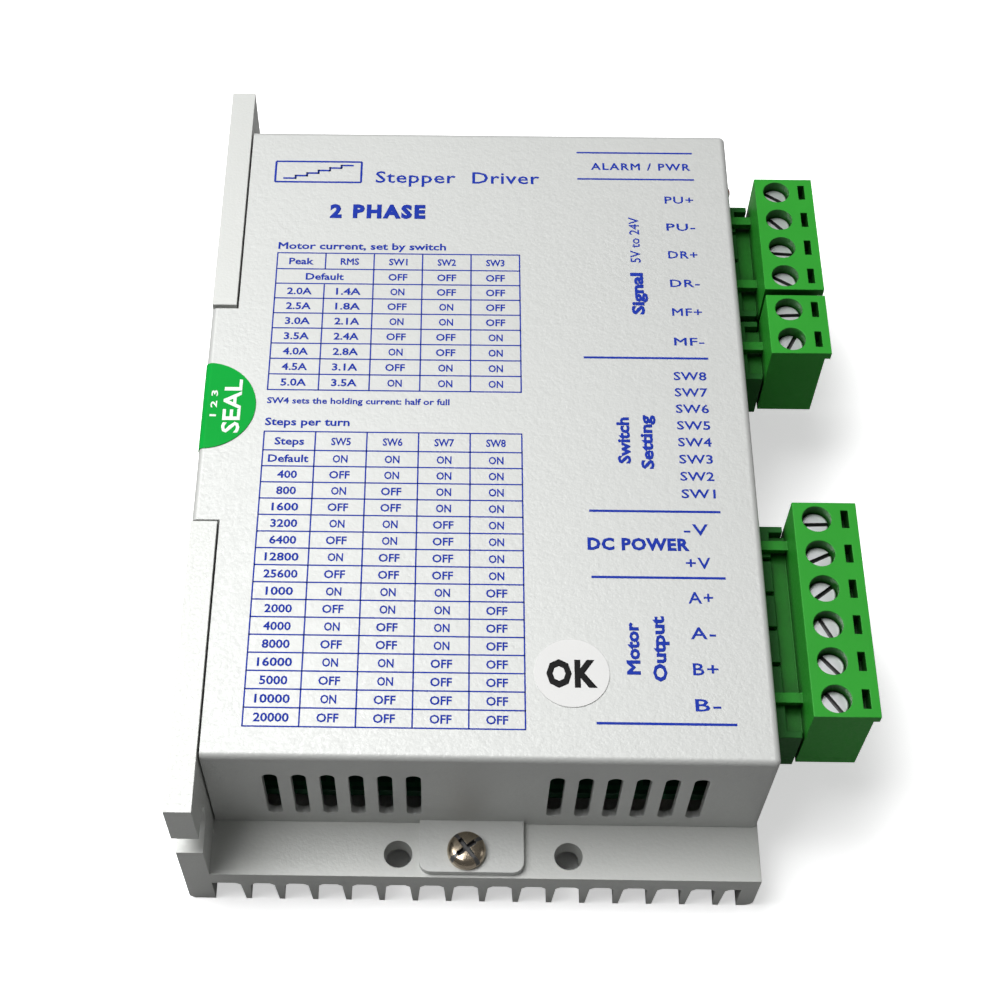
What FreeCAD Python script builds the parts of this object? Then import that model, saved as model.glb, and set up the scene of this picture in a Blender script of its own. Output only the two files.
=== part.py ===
import FreeCAD, Part
import Sketcher
import math
import os
import re

# Stepper driver module: an aluminium heat sink of L section with fins below, a folded sheet
# cover, one circuit board, and pluggable screw terminals along the right-hand side.
# X runs across the module (wall on the left, terminals on the right), Y along it, Z up.
# The origin is on the tip of the middle fin, midway between the four base holes.

SIZES = {
    # shared: how far a cut runs past a face, and how far two joined blocks run into each other
    "past": 1.0,
    "join": 0.5,
    # heat sink
    "overall_length": 114.0,
    "overall_width": 72.6,
    "wall_height": 28.8,
    "wall_thickness": 3.35,
    "plate_thickness": 3.0,
    "fin_height": 5.6,
    "fin_pitch": 4.3,
    "fin_tip": 0.7,
    "fin_root": 1.3,
    "fin_flare": 0.6,
    "first_fin_offset": 7.65,
    "corner_margin": 4.7,
    "corner_round": 1.4,
    "foot_chamfer": 0.7,
    "wall_slot_width": 4.6,
    "wall_slot_depth": 5.0,
    "wall_slot_height": 18.2,
    "base_hole_radius": 1.8,
    "base_hole_pitches": 2.5,
    "base_hole_inset": 3.0,
    "notch_length": 34.8,
    "notch_drop": 13.0,
    # cover
    "cover_height": 28.5,
    "sheet": 1.0,
    "cover_gap": 0.25,
    "cover_inset": 7.2,
    "lap_clearance": 0.05,
    "bend_radius": 0.8,
    "corner_radius": 1.5,
    "side_tab_clearance": 0.4,
    "side_tab_drop": 12.4,
    "end_tab_width": 13.2,
    "end_tab_edge": 0.35,
    "end_tab_shift": 0.65,
    "tab_hole_clearance": 0.25,
    "vent_count": 6,
    "vent_pitch": 3.49,
    "vent_width": 1.85,
    "vent_low": 11.4,
    "vent_high": 23.5,
    "vent_spread": 34.95,
    "vent_shift": 0.38,
    # cover screws
    "screw_radius": 1.25,
    "screw_head_radius": 2.45,
    "screw_head_height": 1.6,
    "crown_radius": 0.85,
    "cross_width": 0.75,
    "cross_length": 3.0,
    "cross_depth": 0.9,
    "thread_clearance": 0.05,
    "thread_floor": 0.4,
    "thread_spare": 0.6,
    "side_screw_height": 24.2,
    "side_head_radius": 2.3,
    "side_head_sink": 0.95,
    "side_cross_depth": 0.7,
    # labels
    "label_thickness": 0.12,
    "seal_radius": 6.9,
    "seal_along": 0.75,
    "seal_trim": 0.05,
    "round_label_radius": 4.6,
    "round_label_across": 10.3,
    "round_label_along": 38.2,
    # circuit board and what stands on it
    "board_gap": 3.6,
    "board_thickness": 1.6,
    "board_margin": 1.2,
    "board_hole_inset": 5.0,
    "board_hole_clearance": 0.1,
    "spacer_radius": 2.6,
    "board_screw_radius": 1.25,
    "board_head_radius": 2.4,
    "board_head_height": 1.5,
    "chip_width": 12.0,
    "chip_length": 14.0,
    "chip_thickness": 2.4,
    "chip_spread": 40.0,
    "chip_across": 12.0,
    "capacitor_radius": 5.0,
    "capacitor_height": 12.2,
    "capacitor_across": 12.5,
    "capacitor_along": 34.0,
    "capacitor_spread": 12.0,
    "can_shoulder": 0.6,
    "controller_size": 10.0,
    "controller_offset": 10.0,
    "controller_thickness": 1.5,
    "opto_width": 6.5,
    "opto_length": 4.6,
    "opto_height": 3.3,
    "opto_pitch": 8.0,
    "opto_count": 3,
    "opto_gap": 2.0,
    # terminal headers and plugs
    "terminal_pitch": 5.08,
    "signal_inset": 17.6,
    "row_gap": 0.78,
    "power_inset": 16.1,
    "power_outset": 0.6,
    "plug_standoff": 3.8,
    "plug_depth": 8.2,
    "plug_top": 28.0,
    "plug_height": 13.4,
    "plug_end_gap": 0.1,
    "lip_depth": 0.75,
    "lip_height": 1.3,
    "well_clearance": 0.15,
    "well_inset": 3.0,
    "screw_sink": 1.5,
    "terminal_head_radius": 1.72,
    "terminal_head_height": 1.3,
    "terminal_shank_radius": 1.15,
    "terminal_shank_length": 5.7,
    "shank_clearance": 0.08,
    "seat_clearance": 0.02,
    "slot_width": 0.55,
    "slot_depth": 0.7,
    "chamber_width": 3.9,
    "chamber_depth": 5.2,
    "floor_height": 1.4,
    "entry_width": 3.4,
    "clamp_clearance": 0.12,
    "clamp_height": 4.8,
    "clamp_floor": 0.7,
    "clamp_top": 1.5,
    "clamp_travel": 1.9,
    "clamp_headroom": 0.3,
    "test_slot_width": 0.95,
    "test_slot_length": 2.6,
    "test_slot_depth": 2.4,
    "test_slot_inset": 1.6,
    "strip_thickness": 0.5,
    "strip_width": 1.9,
    "strip_clearance": 0.2,
    "strip_lift": 0.06,
    "grip_length": 4.0,
    "grip_inset": 1.0,
    "grip_clearance": 0.1,
    "header_depth": 12.0,
    "header_height": 8.1,
    "header_wall": 0.9,
    "header_back": 2.4,
    "header_step": 1.8,
    "comb_width": 0.6,
    "comb_depth": 2.2,
    "header_reveal": 0.3,
    "tongue_depth": 7.2,
    "tongue_clearance": 0.15,
    "key_width": 1.4,
    "key_height": 0.9,
    "key_gap": 0.1,
    "key_reveal": 0.3,
    "key_offset": 0.2,
    "pin_side": 1.0,
    "pin_clearance": 0.08,
    "pin_height": 3.2,
    "pin_foot": 2.6,
    "pin_hole_clearance": 0.07,
    # switch bank and indicators
    "switch_count": 8,
    "switch_pitch": 2.54,
    "switch_depth": 8.0,
    "switch_height": 9.6,
    "switch_margin": 0.7,
    "switch_reveal": 0.2,
    "slider_width": 1.1,
    "slider_side": 1.3,
    "slider_depth": 1.9,
    "slider_proud": 0.5,
    "slider_clearance": 0.1,
    "slider_travel": 1.6,
    "window_clearance": 0.25,
    "window_reveal": 0.5,
    "led_radius": 1.2,
    "led_flat": 0.12,
    "led_length": 6.6,
    "led_inset": 4.9,
    "led_low": 17.2,
    "led_spacing": 4.2,
    "led_proud": 1.4,
    "led_clearance": 0.15,
    "led_base": 3.0,
}

# Places worked out from the sizes, as expressions.
PLACES = {
    "end_y": "overall_length / 2",
    "fin_count": "floor((overall_width - first_fin_offset - corner_margin) / fin_pitch) + 1",
    "middle_fin": "floor((fin_count - 1) / 2)",
    "wall_x": "0 - first_fin_offset - middle_fin * fin_pitch",
    "wall_inner_x": "wall_x + wall_thickness",
    "edge_x": "wall_x + overall_width",
    "plate_z": "fin_height + plate_thickness",
    "rest": "cover_height - sheet - lap_clearance",
    "base_hole_x": "base_hole_pitches * fin_pitch",
    "base_hole_y": "end_y - base_hole_inset",
    "cover_x": "wall_inner_x + cover_gap",
    "cover_end_y": "end_y - cover_inset",
    "cover_low": "plate_z + lap_clearance",
    "under_cover": "cover_height - sheet",
    "end_screw_x": "0 - fin_pitch / 2",
    "notch_z": "wall_height - notch_drop",
    "board_low": "plate_z + board_gap",
    "board_top": "board_low + board_thickness",
    "board_x": "wall_inner_x + board_margin",
    "board_edge_x": "edge_x - sheet - board_margin",
    "board_end_y": "cover_end_y - sheet - board_margin",
    "board_hole_y": "board_end_y - board_hole_inset",
    "signal_first": "end_y - signal_inset",
    "fault_first": "signal_first - 4 * terminal_pitch - row_gap",
    "power_first": "power_inset - end_y + 5 * terminal_pitch",
    "plug_x": "edge_x + plug_standoff",
    "plug_low": "plug_top - plug_height",
    "chamber_low": "plug_low + floor_height",
    "chamber_height": "clamp_height + clamp_travel + clamp_headroom",
    "well_radius": "terminal_head_radius + well_clearance",
    "head_low": "plug_top - screw_sink - terminal_head_height",
    "pin_z": "board_top + pin_height",
    "pin_room": "pin_side + 2 * pin_clearance",
    "pin_hole_radius": "pin_side * sqrt(2) / 2 + pin_hole_clearance",
    "strip_top": "chamber_low + clamp_clearance + clamp_height - clamp_top - strip_lift",
    "header_top": "board_top + header_height",
    "switch_length": "switch_count * switch_pitch + 2 * switch_margin",
    "switch_y": "(fault_first + power_first - terminal_pitch) / 2",
    "switch_front": "edge_x - sheet - switch_reveal",
    "switch_middle": "board_top + switch_height / 2",
    "board_hole_left_x": "board_x + board_hole_inset",
    "board_hole_right_x": "header_x - board_hole_inset",
    "header_x": "plug_x - header_reveal - header_depth",
    "header_front": "plug_x - header_reveal",
    "led_along": "cover_end_y - led_inset",
    "seal_half_bend": "bend_radius * pi / 4",
}

TERMINALS = {
    "signal": (4, "signal_first", "0"),
    "fault": (2, "fault_first", "0"),
    "power": (6, "power_first", "power_outset"),
}

SLOT_TURNS = {
    "signal": (-35, -48, -4, -32),
    "fault": (3, 62),
    "power": (2, 26, 38, -64, -50, -56),
}

WORD = re.compile(r"[a-z_]+")
KEPT_WORDS = ("floor", "pi", "sqrt")
ENDS = (("near", "-"), ("far", "+"))
SAME = 0.01

doc = FreeCAD.newDocument("StepperDriver")


def make_sheet():
    sheet = doc.addObject("Spreadsheet::Sheet", "Sizes")
    for row, (alias, value) in enumerate(SIZES.items(), start=1):
        sheet.set(f"A{row}", alias)
        sheet.set(f"B{row}", str(value))
        sheet.setAlias(f"B{row}", alias)
    doc.recompute()


def formula(text):
    """Expression text in which every size and place is spelled out as cells of the sheet."""
    def spell(match):
        word = match.group(0)
        if word in PLACES:
            return "(" + formula(PLACES[word]) + ")"
        if word in KEPT_WORDS:
            return word
        return "Sizes." + word
    return WORD.sub(spell, text)


def bind(item, **values):
    for name, text in values.items():
        item.setExpression(name, formula(text))


def put(item, at):
    for letter, text in zip("xyz", at):
        item.setExpression("Placement.Base." + letter, formula(text))


def new_body(label):
    body = doc.addObject("PartDesign::Body", label)
    body.Label = label
    return body


def plane_of(body, role):
    return next(item for item in body.Origin.OriginFeatures if item.Role == role)


def block(body, name, size, at, cut=False):
    """A box from its low corner, added to the body or cut from it."""
    kind = "PartDesign::SubtractiveBox" if cut else "PartDesign::AdditiveBox"
    item = body.newObject(kind, name)
    put(item, at)
    bind(item, Length=size[0], Width=size[1], Height=size[2])
    return item


AXIS_TURNS = {
    "x": FreeCAD.Rotation(FreeCAD.Vector(0, 1, 0), 90),
    "y": FreeCAD.Rotation(FreeCAD.Vector(1, 0, 0), -90),
    "z": FreeCAD.Rotation(),
}


def rod(body, name, radius, length, at, along="z", cut=False):
    """A cylinder from the centre of its first end, pointing along an axis."""
    kind = "PartDesign::SubtractiveCylinder" if cut else "PartDesign::AdditiveCylinder"
    item = body.newObject(kind, name)
    item.Placement = FreeCAD.Placement(FreeCAD.Vector(), AXIS_TURNS[along])
    put(item, at)
    bind(item, Radius=radius, Height=length)
    return item


def outline(body, name, plane, corners):
    """A closed sketch whose corners are tied to the sheet, two distances each."""
    sketch = body.newObject("Sketcher::SketchObject", name)
    sketch.AttachmentSupport = [(plane_of(body, plane), "")]
    sketch.MapMode = "FlatFace"
    count = len(corners)
    for index in range(count):
        start = FreeCAD.Vector(index, index * index, 0)
        follower = (index + 1) % count
        end = FreeCAD.Vector(follower, follower * follower, 0)
        sketch.addGeometry(Part.LineSegment(start, end))
    for index in range(count):
        sketch.addConstraint(Sketcher.Constraint("Coincident", index, 2, (index + 1) % count, 1))
    for index, (across, upward) in enumerate(corners):
        for kind, text in (("DistanceX", across), ("DistanceY", upward)):
            number = sketch.addConstraint(Sketcher.Constraint(kind, -1, 1, index, 1, 1.0))
            sketch.setExpression(f"Constraints[{number}]", formula(text))
    return sketch


def extrude(body, name, sketch, length, cut=False):
    """A pad or pocket to both sides of the sketch's plane."""
    item = body.newObject("PartDesign::Pocket" if cut else "PartDesign::Pad", name)
    item.Profile = (sketch, [""])
    item.SideType = "Symmetric"
    bind(item, Length=length)
    return item


def repeat(body, name, originals, axis, spacing, count, backwards=False):
    pattern = body.newObject("PartDesign::LinearPattern", name)
    pattern.Originals = originals
    pattern.Direction = (plane_of(body, axis), [""])
    pattern.Mode = "Spacing"
    pattern.Reversed = backwards
    bind(pattern, Offset=spacing, Occurrences=count)
    body.Tip = pattern
    return pattern


def edges_where(feature, test):
    names = []
    for number, edge in enumerate(feature.Shape.Edges, start=1):
        if test(edge):
            names.append(f"Edge{number}")
    return names


def round_edges(body, name, feature, test, radius):
    doc.recompute()
    item = body.newObject("PartDesign::Fillet", name)
    item.Base = (feature, edges_where(feature, test))
    bind(item, Radius=radius)
    doc.recompute()
    return item


def heat_sink():
    body = new_body("heat_sink")
    section = outline(body, "sink_section", "XZ_Plane", (
        ("wall_x + foot_chamfer", "0"),
        ("wall_inner_x", "0"),
        ("wall_inner_x", "fin_height"),
        ("edge_x - corner_round - fin_tip", "fin_height"),
        ("edge_x - corner_round - fin_tip", "0"),
        ("edge_x", "0"),
        ("edge_x", "plate_z"),
        ("wall_inner_x", "plate_z"),
        ("wall_inner_x", "wall_height"),
        ("wall_x", "wall_height"),
        ("wall_x", "foot_chamfer"),
    ))
    profile = extrude(body, "sink_profile", section, "overall_length")
    doc.recompute()
    edge_x = profile.Shape.BoundBox.XMax
    round_edges(body, "sink_corner", profile, lambda edge: (
        abs(edge.CenterOfMass.x - edge_x) < SAME and abs(edge.CenterOfMass.z) < SAME
        and edge.BoundBox.YLength > SAME), "corner_round")
    fin_x = "wall_x + first_fin_offset"
    fin = outline(body, "fin_section", "XZ_Plane", (
        (fin_x + " - fin_tip / 2", "0"),
        (fin_x + " + fin_tip / 2", "0"),
        (fin_x + " + fin_root / 2", "fin_height - fin_flare"),
        (fin_x + " + fin_root / 2 + fin_flare", "fin_height"),
        (fin_x + " + fin_root / 2 + fin_flare", "fin_height + fin_flare"),
        (fin_x + " - fin_root / 2 - fin_flare", "fin_height + fin_flare"),
        (fin_x + " - fin_root / 2 - fin_flare", "fin_height"),
        (fin_x + " - fin_root / 2", "fin_height - fin_flare"),
    ))
    first_fin = extrude(body, "fin", fin, "overall_length")
    repeat(body, "fins", [first_fin], "X_Axis", "fin_pitch", "fin_count")
    block(body, "notch_top", ("wall_thickness + 2 * past", "notch_length", "wall_height - rest + past"),
          ("wall_x - past", "0 - notch_length / 2", "rest"), cut=True)
    block(body, "notch_rebate", ("sheet + lap_clearance + past", "notch_length", "notch_drop + past"),
          ("wall_x - past", "0 - notch_length / 2", "notch_z"), cut=True)
    for end, side in ENDS:
        inner = f"0 {side} (end_y - wall_slot_depth + wall_slot_width / 2)"
        outer = "0 - end_y - past" if side == "-" else inner
        straight = "wall_slot_depth - wall_slot_width / 2 + past"
        block(body, f"wall_slot_{end}", ("wall_thickness + 2 * past", straight, "wall_slot_width"),
              ("wall_x - past", outer, "wall_slot_height - wall_slot_width / 2"), cut=True)
        rod(body, f"wall_slot_round_{end}", "wall_slot_width / 2", "wall_thickness + 2 * past",
            ("wall_x - past", inner, "wall_slot_height"), "x", cut=True)
        for hand, across in (("left", "0 - base_hole_x"), ("right", "base_hole_x")):
            rod(body, f"base_hole_{end}_{hand}", "base_hole_radius", "plate_z + 2 * past",
                (across, f"0 {side} base_hole_y", "0 - past"), cut=True)
            board_hole = "board_hole_left_x" if hand == "left" else "board_hole_right_x"
            rod(body, f"board_thread_{end}_{hand}", "board_screw_radius + thread_clearance",
                "plate_thickness", (board_hole, f"0 {side} board_hole_y", "fin_height + thread_floor"),
                cut=True)
        rod(body, f"cover_thread_{end}", "screw_radius + thread_clearance", "plate_z + 2 * past",
            ("end_screw_x", f"0 {side} base_hole_y", "0 - past"), cut=True)
    side_thread = rod(body, "side_thread", "screw_radius + thread_clearance", "wall_thickness + past",
                      ("wall_x", "0", "side_screw_height"), "x", cut=True)
    body.Tip = side_thread
    return body


def vent_row(body, name, first_x):
    """One group of round-ended vents, cut through both end flanges together."""
    sketch = body.newObject("Sketcher::SketchObject", name + "_outline")
    sketch.AttachmentSupport = [(plane_of(body, "XZ_Plane"), "")]
    sketch.MapMode = "FlatFace"
    normal = FreeCAD.Vector(0, 0, 1)
    upper = FreeCAD.Vector(0, 10, 0)
    lower = FreeCAD.Vector(0, 0, 0)
    across = FreeCAD.Vector(1, 0, 0)
    sketch.addGeometry(Part.ArcOfCircle(Part.Circle(upper, normal, 1), 0, math.pi))
    sketch.addGeometry(Part.LineSegment(upper - across, lower - across))
    sketch.addGeometry(Part.ArcOfCircle(Part.Circle(lower, normal, 1), math.pi, 2 * math.pi))
    sketch.addGeometry(Part.LineSegment(lower + across, upper + across))
    for index in range(4):
        sketch.addConstraint(Sketcher.Constraint("Tangent", index, 2, (index + 1) % 4, 1))
    for arc, height in ((0, "vent_high - vent_width / 2"), (2, "vent_low + vent_width / 2")):
        radius = sketch.addConstraint(Sketcher.Constraint("Radius", arc, 1.0))
        sketch.setExpression(f"Constraints[{radius}]", formula("vent_width / 2"))
        for kind, text in (("DistanceX", first_x), ("DistanceY", height)):
            number = sketch.addConstraint(Sketcher.Constraint(kind, -1, 1, arc, 3, 1.0))
            sketch.setExpression(f"Constraints[{number}]", formula(text))
    vent = extrude(body, name, sketch, "2 * (cover_end_y + past)", cut=True)
    repeat(body, name + "_group", [vent], "X_Axis", "vent_pitch", "vent_count")


def cover():
    body = new_body("cover")
    shell = block(body, "shell", ("edge_x - cover_x", "2 * cover_end_y", "cover_height - cover_low"),
                  ("cover_x", "0 - cover_end_y", "cover_low"))
    doc.recompute()
    box = shell.Shape.BoundBox

    def is_bend(edge):
        middle = edge.CenterOfMass
        on_top = abs(middle.z - box.ZMax) < SAME and middle.x > box.XMin + SAME
        on_corner = abs(middle.x - box.XMax) < SAME and abs(middle.z - box.Center.z) < SAME
        return on_top or on_corner

    round_edges(body, "bends", shell, is_bend, "bend_radius")
    block(body, "hollow", ("edge_x - cover_x - sheet + past", "2 * (cover_end_y - sheet)",
                           "under_cover - cover_low + past"),
          ("cover_x - past", "0 - cover_end_y + sheet", "cover_low - past"), cut=True)
    tab_x = "end_screw_x + end_tab_shift - end_tab_width / 2"
    reach = "end_y - end_tab_edge - cover_end_y + sheet"
    block(body, "end_tab_near", ("end_tab_width", reach, "sheet"),
          (tab_x, "0 - end_y + end_tab_edge", "cover_low"))
    tab = block(body, "end_tab_far", ("end_tab_width", reach, "sheet"),
                (tab_x, "cover_end_y - sheet", "cover_low"))
    doc.recompute()
    tab_y = tab.Shape.BoundBox.YMax
    round_edges(body, "end_tab_corners", tab, lambda edge: (
        abs(abs(edge.CenterOfMass.y) - tab_y) < SAME and edge.BoundBox.ZLength > SAME), "corner_radius")
    for end, side in ENDS:
        rod(body, f"tab_hole_{end}", "screw_radius + tab_hole_clearance", "sheet + 2 * past",
            ("end_screw_x", f"0 {side} base_hole_y", "cover_low - past"), cut=True)
    tab_length = "notch_length - 2 * side_tab_clearance"
    tab_low_y = "0 - notch_length / 2 + side_tab_clearance"
    block(body, "side_tab_top", ("cover_x - wall_x + join", tab_length, "sheet"),
          ("wall_x", tab_low_y, "under_cover"))
    drop = block(body, "side_tab_drop", ("sheet", tab_length, "side_tab_drop"),
                 ("wall_x", tab_low_y, "cover_height - side_tab_drop"))
    doc.recompute()
    side = drop.Shape.BoundBox
    round_edges(body, "side_tab_bend", drop, lambda edge: (
        abs(edge.CenterOfMass.x - side.XMin) < SAME and abs(edge.CenterOfMass.z - side.ZMax) < SAME),
        "bend_radius")
    rod(body, "side_hole", "screw_radius + tab_hole_clearance", "sheet + 2 * past",
        ("wall_x - past", "0", "side_screw_height"), "x", cut=True)
    sink = body.newObject("PartDesign::SubtractiveCone", "side_countersink")
    sink.Placement = FreeCAD.Placement(FreeCAD.Vector(), AXIS_TURNS["x"])
    put(sink, ("wall_x", "0", "side_screw_height"))
    bind(sink, Radius1="side_head_radius + thread_clearance", Radius2="screw_radius + tab_hole_clearance",
         Height="side_head_sink")
    middle = "(cover_x + edge_x) / 2 - vent_shift"
    half_group = "(vent_count - 1) * vent_pitch / 2"
    vent_row(body, "vents_left", f"{middle} - vent_spread / 2 - {half_group}")
    vent_row(body, "vents_right", f"{middle} + vent_spread / 2 - {half_group}")
    for name, (count, first, outset) in TERMINALS.items():
        length = f"{count} * terminal_pitch - 2 * plug_end_gap + 2 * window_clearance"
        low_y = f"{first} - {count - 0.5} * terminal_pitch + plug_end_gap - window_clearance"
        height = "header_top + window_clearance - cover_low + past"
        block(body, f"{name}_opening", ("sheet + 2 * past", length, height),
              ("edge_x - sheet - past", low_y, "cover_low - past"), cut=True)
    window_y = "switch_length - 2 * switch_margin + 2 * window_clearance"
    window_z = "slider_side + slider_travel + 2 * window_reveal"
    block(body, "switch_opening", ("sheet + 2 * past", window_y, window_z),
          ("edge_x - sheet - past", f"switch_y - ({window_y}) / 2", f"switch_middle - ({window_z}) / 2"),
          cut=True)
    for name, height in (("power", "led_low"), ("alarm", "led_low + led_spacing")):
        last = rod(body, f"led_{name}_opening", "led_radius + led_clearance", "sheet + 2 * past",
                   ("edge_x - sheet - past", "led_along", height), "x", cut=True)
    body.Tip = last
    return body


def cross_recess(body, name, centre, top_z):
    for turn, size in (("a", ("cross_length", "cross_width")), ("b", ("cross_width", "cross_length"))):
        last = block(body, f"{name}_{turn}", (size[0], size[1], "cross_depth + past"),
                     (f"{centre[0]} - {size[0]} / 2", f"{centre[1]} - {size[1]} / 2",
                      f"{top_z} - cross_depth"), cut=True)
    return last


def pan_screws(label, radius, head_radius, head_height, shank_length, places, seat_z):
    """Pan-head screws with a cross recess, all of one size, in one sub-part."""
    body = new_body(label)
    for number, (across, along) in enumerate(places, start=1):
        rod(body, f"{label}_shank_{number}", radius, f"{shank_length} + join",
            (across, along, f"{seat_z} - {shank_length}"))
        head = rod(body, f"{label}_head_{number}", head_radius, head_height, (across, along, seat_z))
    doc.recompute()
    top = head.Shape.BoundBox.ZMax
    round_edges(body, f"{label}_crowns", head, lambda edge: abs(edge.BoundBox.ZMin - top) < SAME,
                "crown_radius")
    for number, (across, along) in enumerate(places, start=1):
        last = cross_recess(body, f"{label}_cross_{number}", (across, along), f"{seat_z} + {head_height}")
    body.Tip = last
    return body


def cover_side_screw():
    body = new_body("cover_side_screw")
    rod(body, "side_shank", "screw_radius", "wall_thickness", ("wall_x", "0", "side_screw_height"), "x")
    head = body.newObject("PartDesign::AdditiveCone", "side_head")
    head.Placement = FreeCAD.Placement(FreeCAD.Vector(), AXIS_TURNS["x"])
    put(head, ("wall_x + thread_clearance", "0", "side_screw_height"))
    bind(head, Radius1="side_head_radius", Radius2="screw_radius", Height="side_head_sink")
    for turn, size in (("a", ("cross_width", "cross_length")), ("b", ("cross_length", "cross_width"))):
        last = block(body, f"side_cross_{turn}", ("side_cross_depth + past", size[0], size[1]),
                     ("wall_x - past", f"0 - {size[0]} / 2", f"side_screw_height - {size[1]} / 2"), cut=True)
    body.Tip = last
    return body


def seal_label():
    """Round paper seal folded over the edge of the cover's side tab."""
    body = new_body("seal_label")
    fold_x = "wall_x + bend_radius"
    fold_z = "cover_height - bend_radius"
    width = "2 * (seal_radius + past)"
    low_y = "seal_along - seal_radius - past"
    rod(body, "seal_top", "seal_radius", "label_thickness",
        (f"{fold_x} - seal_half_bend", "seal_along", "cover_height"))
    block(body, "seal_top_trim", ("seal_radius + 2 * past", width, "2 * past"),
          (f"{fold_x} - seal_radius - 2 * past", low_y, "cover_height - past"), cut=True)
    rod(body, "seal_side", "seal_radius", "label_thickness",
        ("wall_x - label_thickness", "seal_along", f"{fold_z} + seal_half_bend"), "x")
    block(body, "seal_side_trim", ("past", width, "seal_radius + 2 * past"),
          ("wall_x - past", low_y, fold_z), cut=True)
    bend = rod(body, "seal_bend", "bend_radius + label_thickness", "2 * (seal_radius - seal_trim)",
               (fold_x, "seal_along - seal_radius + seal_trim", fold_z), "y")
    bend.Placement.Rotation = FreeCAD.Rotation(FreeCAD.Vector(0, 1, 0), 180) * AXIS_TURNS["y"]
    bend.Angle = 90
    body.Tip = rod(body, "seal_bend_inside", "bend_radius", width, (fold_x, low_y, fold_z), "y", cut=True)
    return body


def round_label():
    body = new_body("round_label")
    rod(body, "round_label_disc", "round_label_radius", "label_thickness",
        ("round_label_across", "0 - round_label_along", "cover_height"))
    return body


def header_span(count, first):
    """Length and low end, along Y, of a row of terminals."""
    length = f"({count} * terminal_pitch - 2 * plug_end_gap)"
    low_y = f"({first} - {count - 0.5} * terminal_pitch + plug_end_gap)"
    return length, low_y


def terminal_header(name, count, first, outset):
    body = new_body(f"{name}_header")
    length, low_y = header_span(count, first)
    front = f"header_front + {outset}"
    block(body, f"{name}_shroud", ("header_depth", length, "header_height"),
          (f"header_x + {outset}", low_y, "board_top"))
    block(body, f"{name}_cavity", ("header_depth - header_back + past", f"{length} - 2 * header_wall",
                                   "header_height - 2 * header_wall"),
          (f"header_x + header_back + {outset}", f"{low_y} + header_wall", "board_top + header_wall"),
          cut=True)
    block(body, f"{name}_step",
          ("header_step + past", f"{length} - 2 * header_wall", "header_wall + 2 * past"),
          (f"{front} - header_step", f"{low_y} + header_wall", "header_top - header_wall - past"), cut=True)
    for number in range(1, count):
        block(body, f"{name}_comb_{number}", ("comb_depth", "comb_width", "header_wall + 2 * past"),
              (f"{front} - header_step - comb_depth",
               f"{first} - {number - 0.5} * terminal_pitch - comb_width / 2",
               "header_top - header_wall - past"), cut=True)
    for number in range(count):
        along = f"{first} - {number} * terminal_pitch - pin_side / 2 - pin_clearance"
        last = block(body, f"{name}_pin_room_{number + 1}",
                     ("header_back + past + pin_side", "pin_room", "pin_z + pin_room / 2 - board_top + past"),
                     (f"header_x + {outset} + header_back - pin_room", along, "board_top - past"), cut=True)
    body.Tip = last
    return body


def header_pins():
    """Square pins, one for each terminal, bent down through the board."""
    body = new_body("header_pins")
    for name, (count, first, outset) in TERMINALS.items():
        heel = f"header_x + {outset} + header_back - pin_side - pin_clearance"
        for number in range(count):
            low_y = f"{first} - {number} * terminal_pitch - pin_side / 2"
            block(body, f"{name}_pin_leg_{number + 1}",
                  ("pin_side", "pin_side", "pin_z + pin_side / 2 - board_top + pin_foot"),
                  (heel, low_y, "board_top - pin_foot"))
            last = block(body, f"{name}_pin_{number + 1}",
                         ("header_depth - header_back - header_step", "pin_side", "pin_side"),
                         (heel, low_y, "pin_z - pin_side / 2"))
    body.Tip = last
    return body


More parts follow.
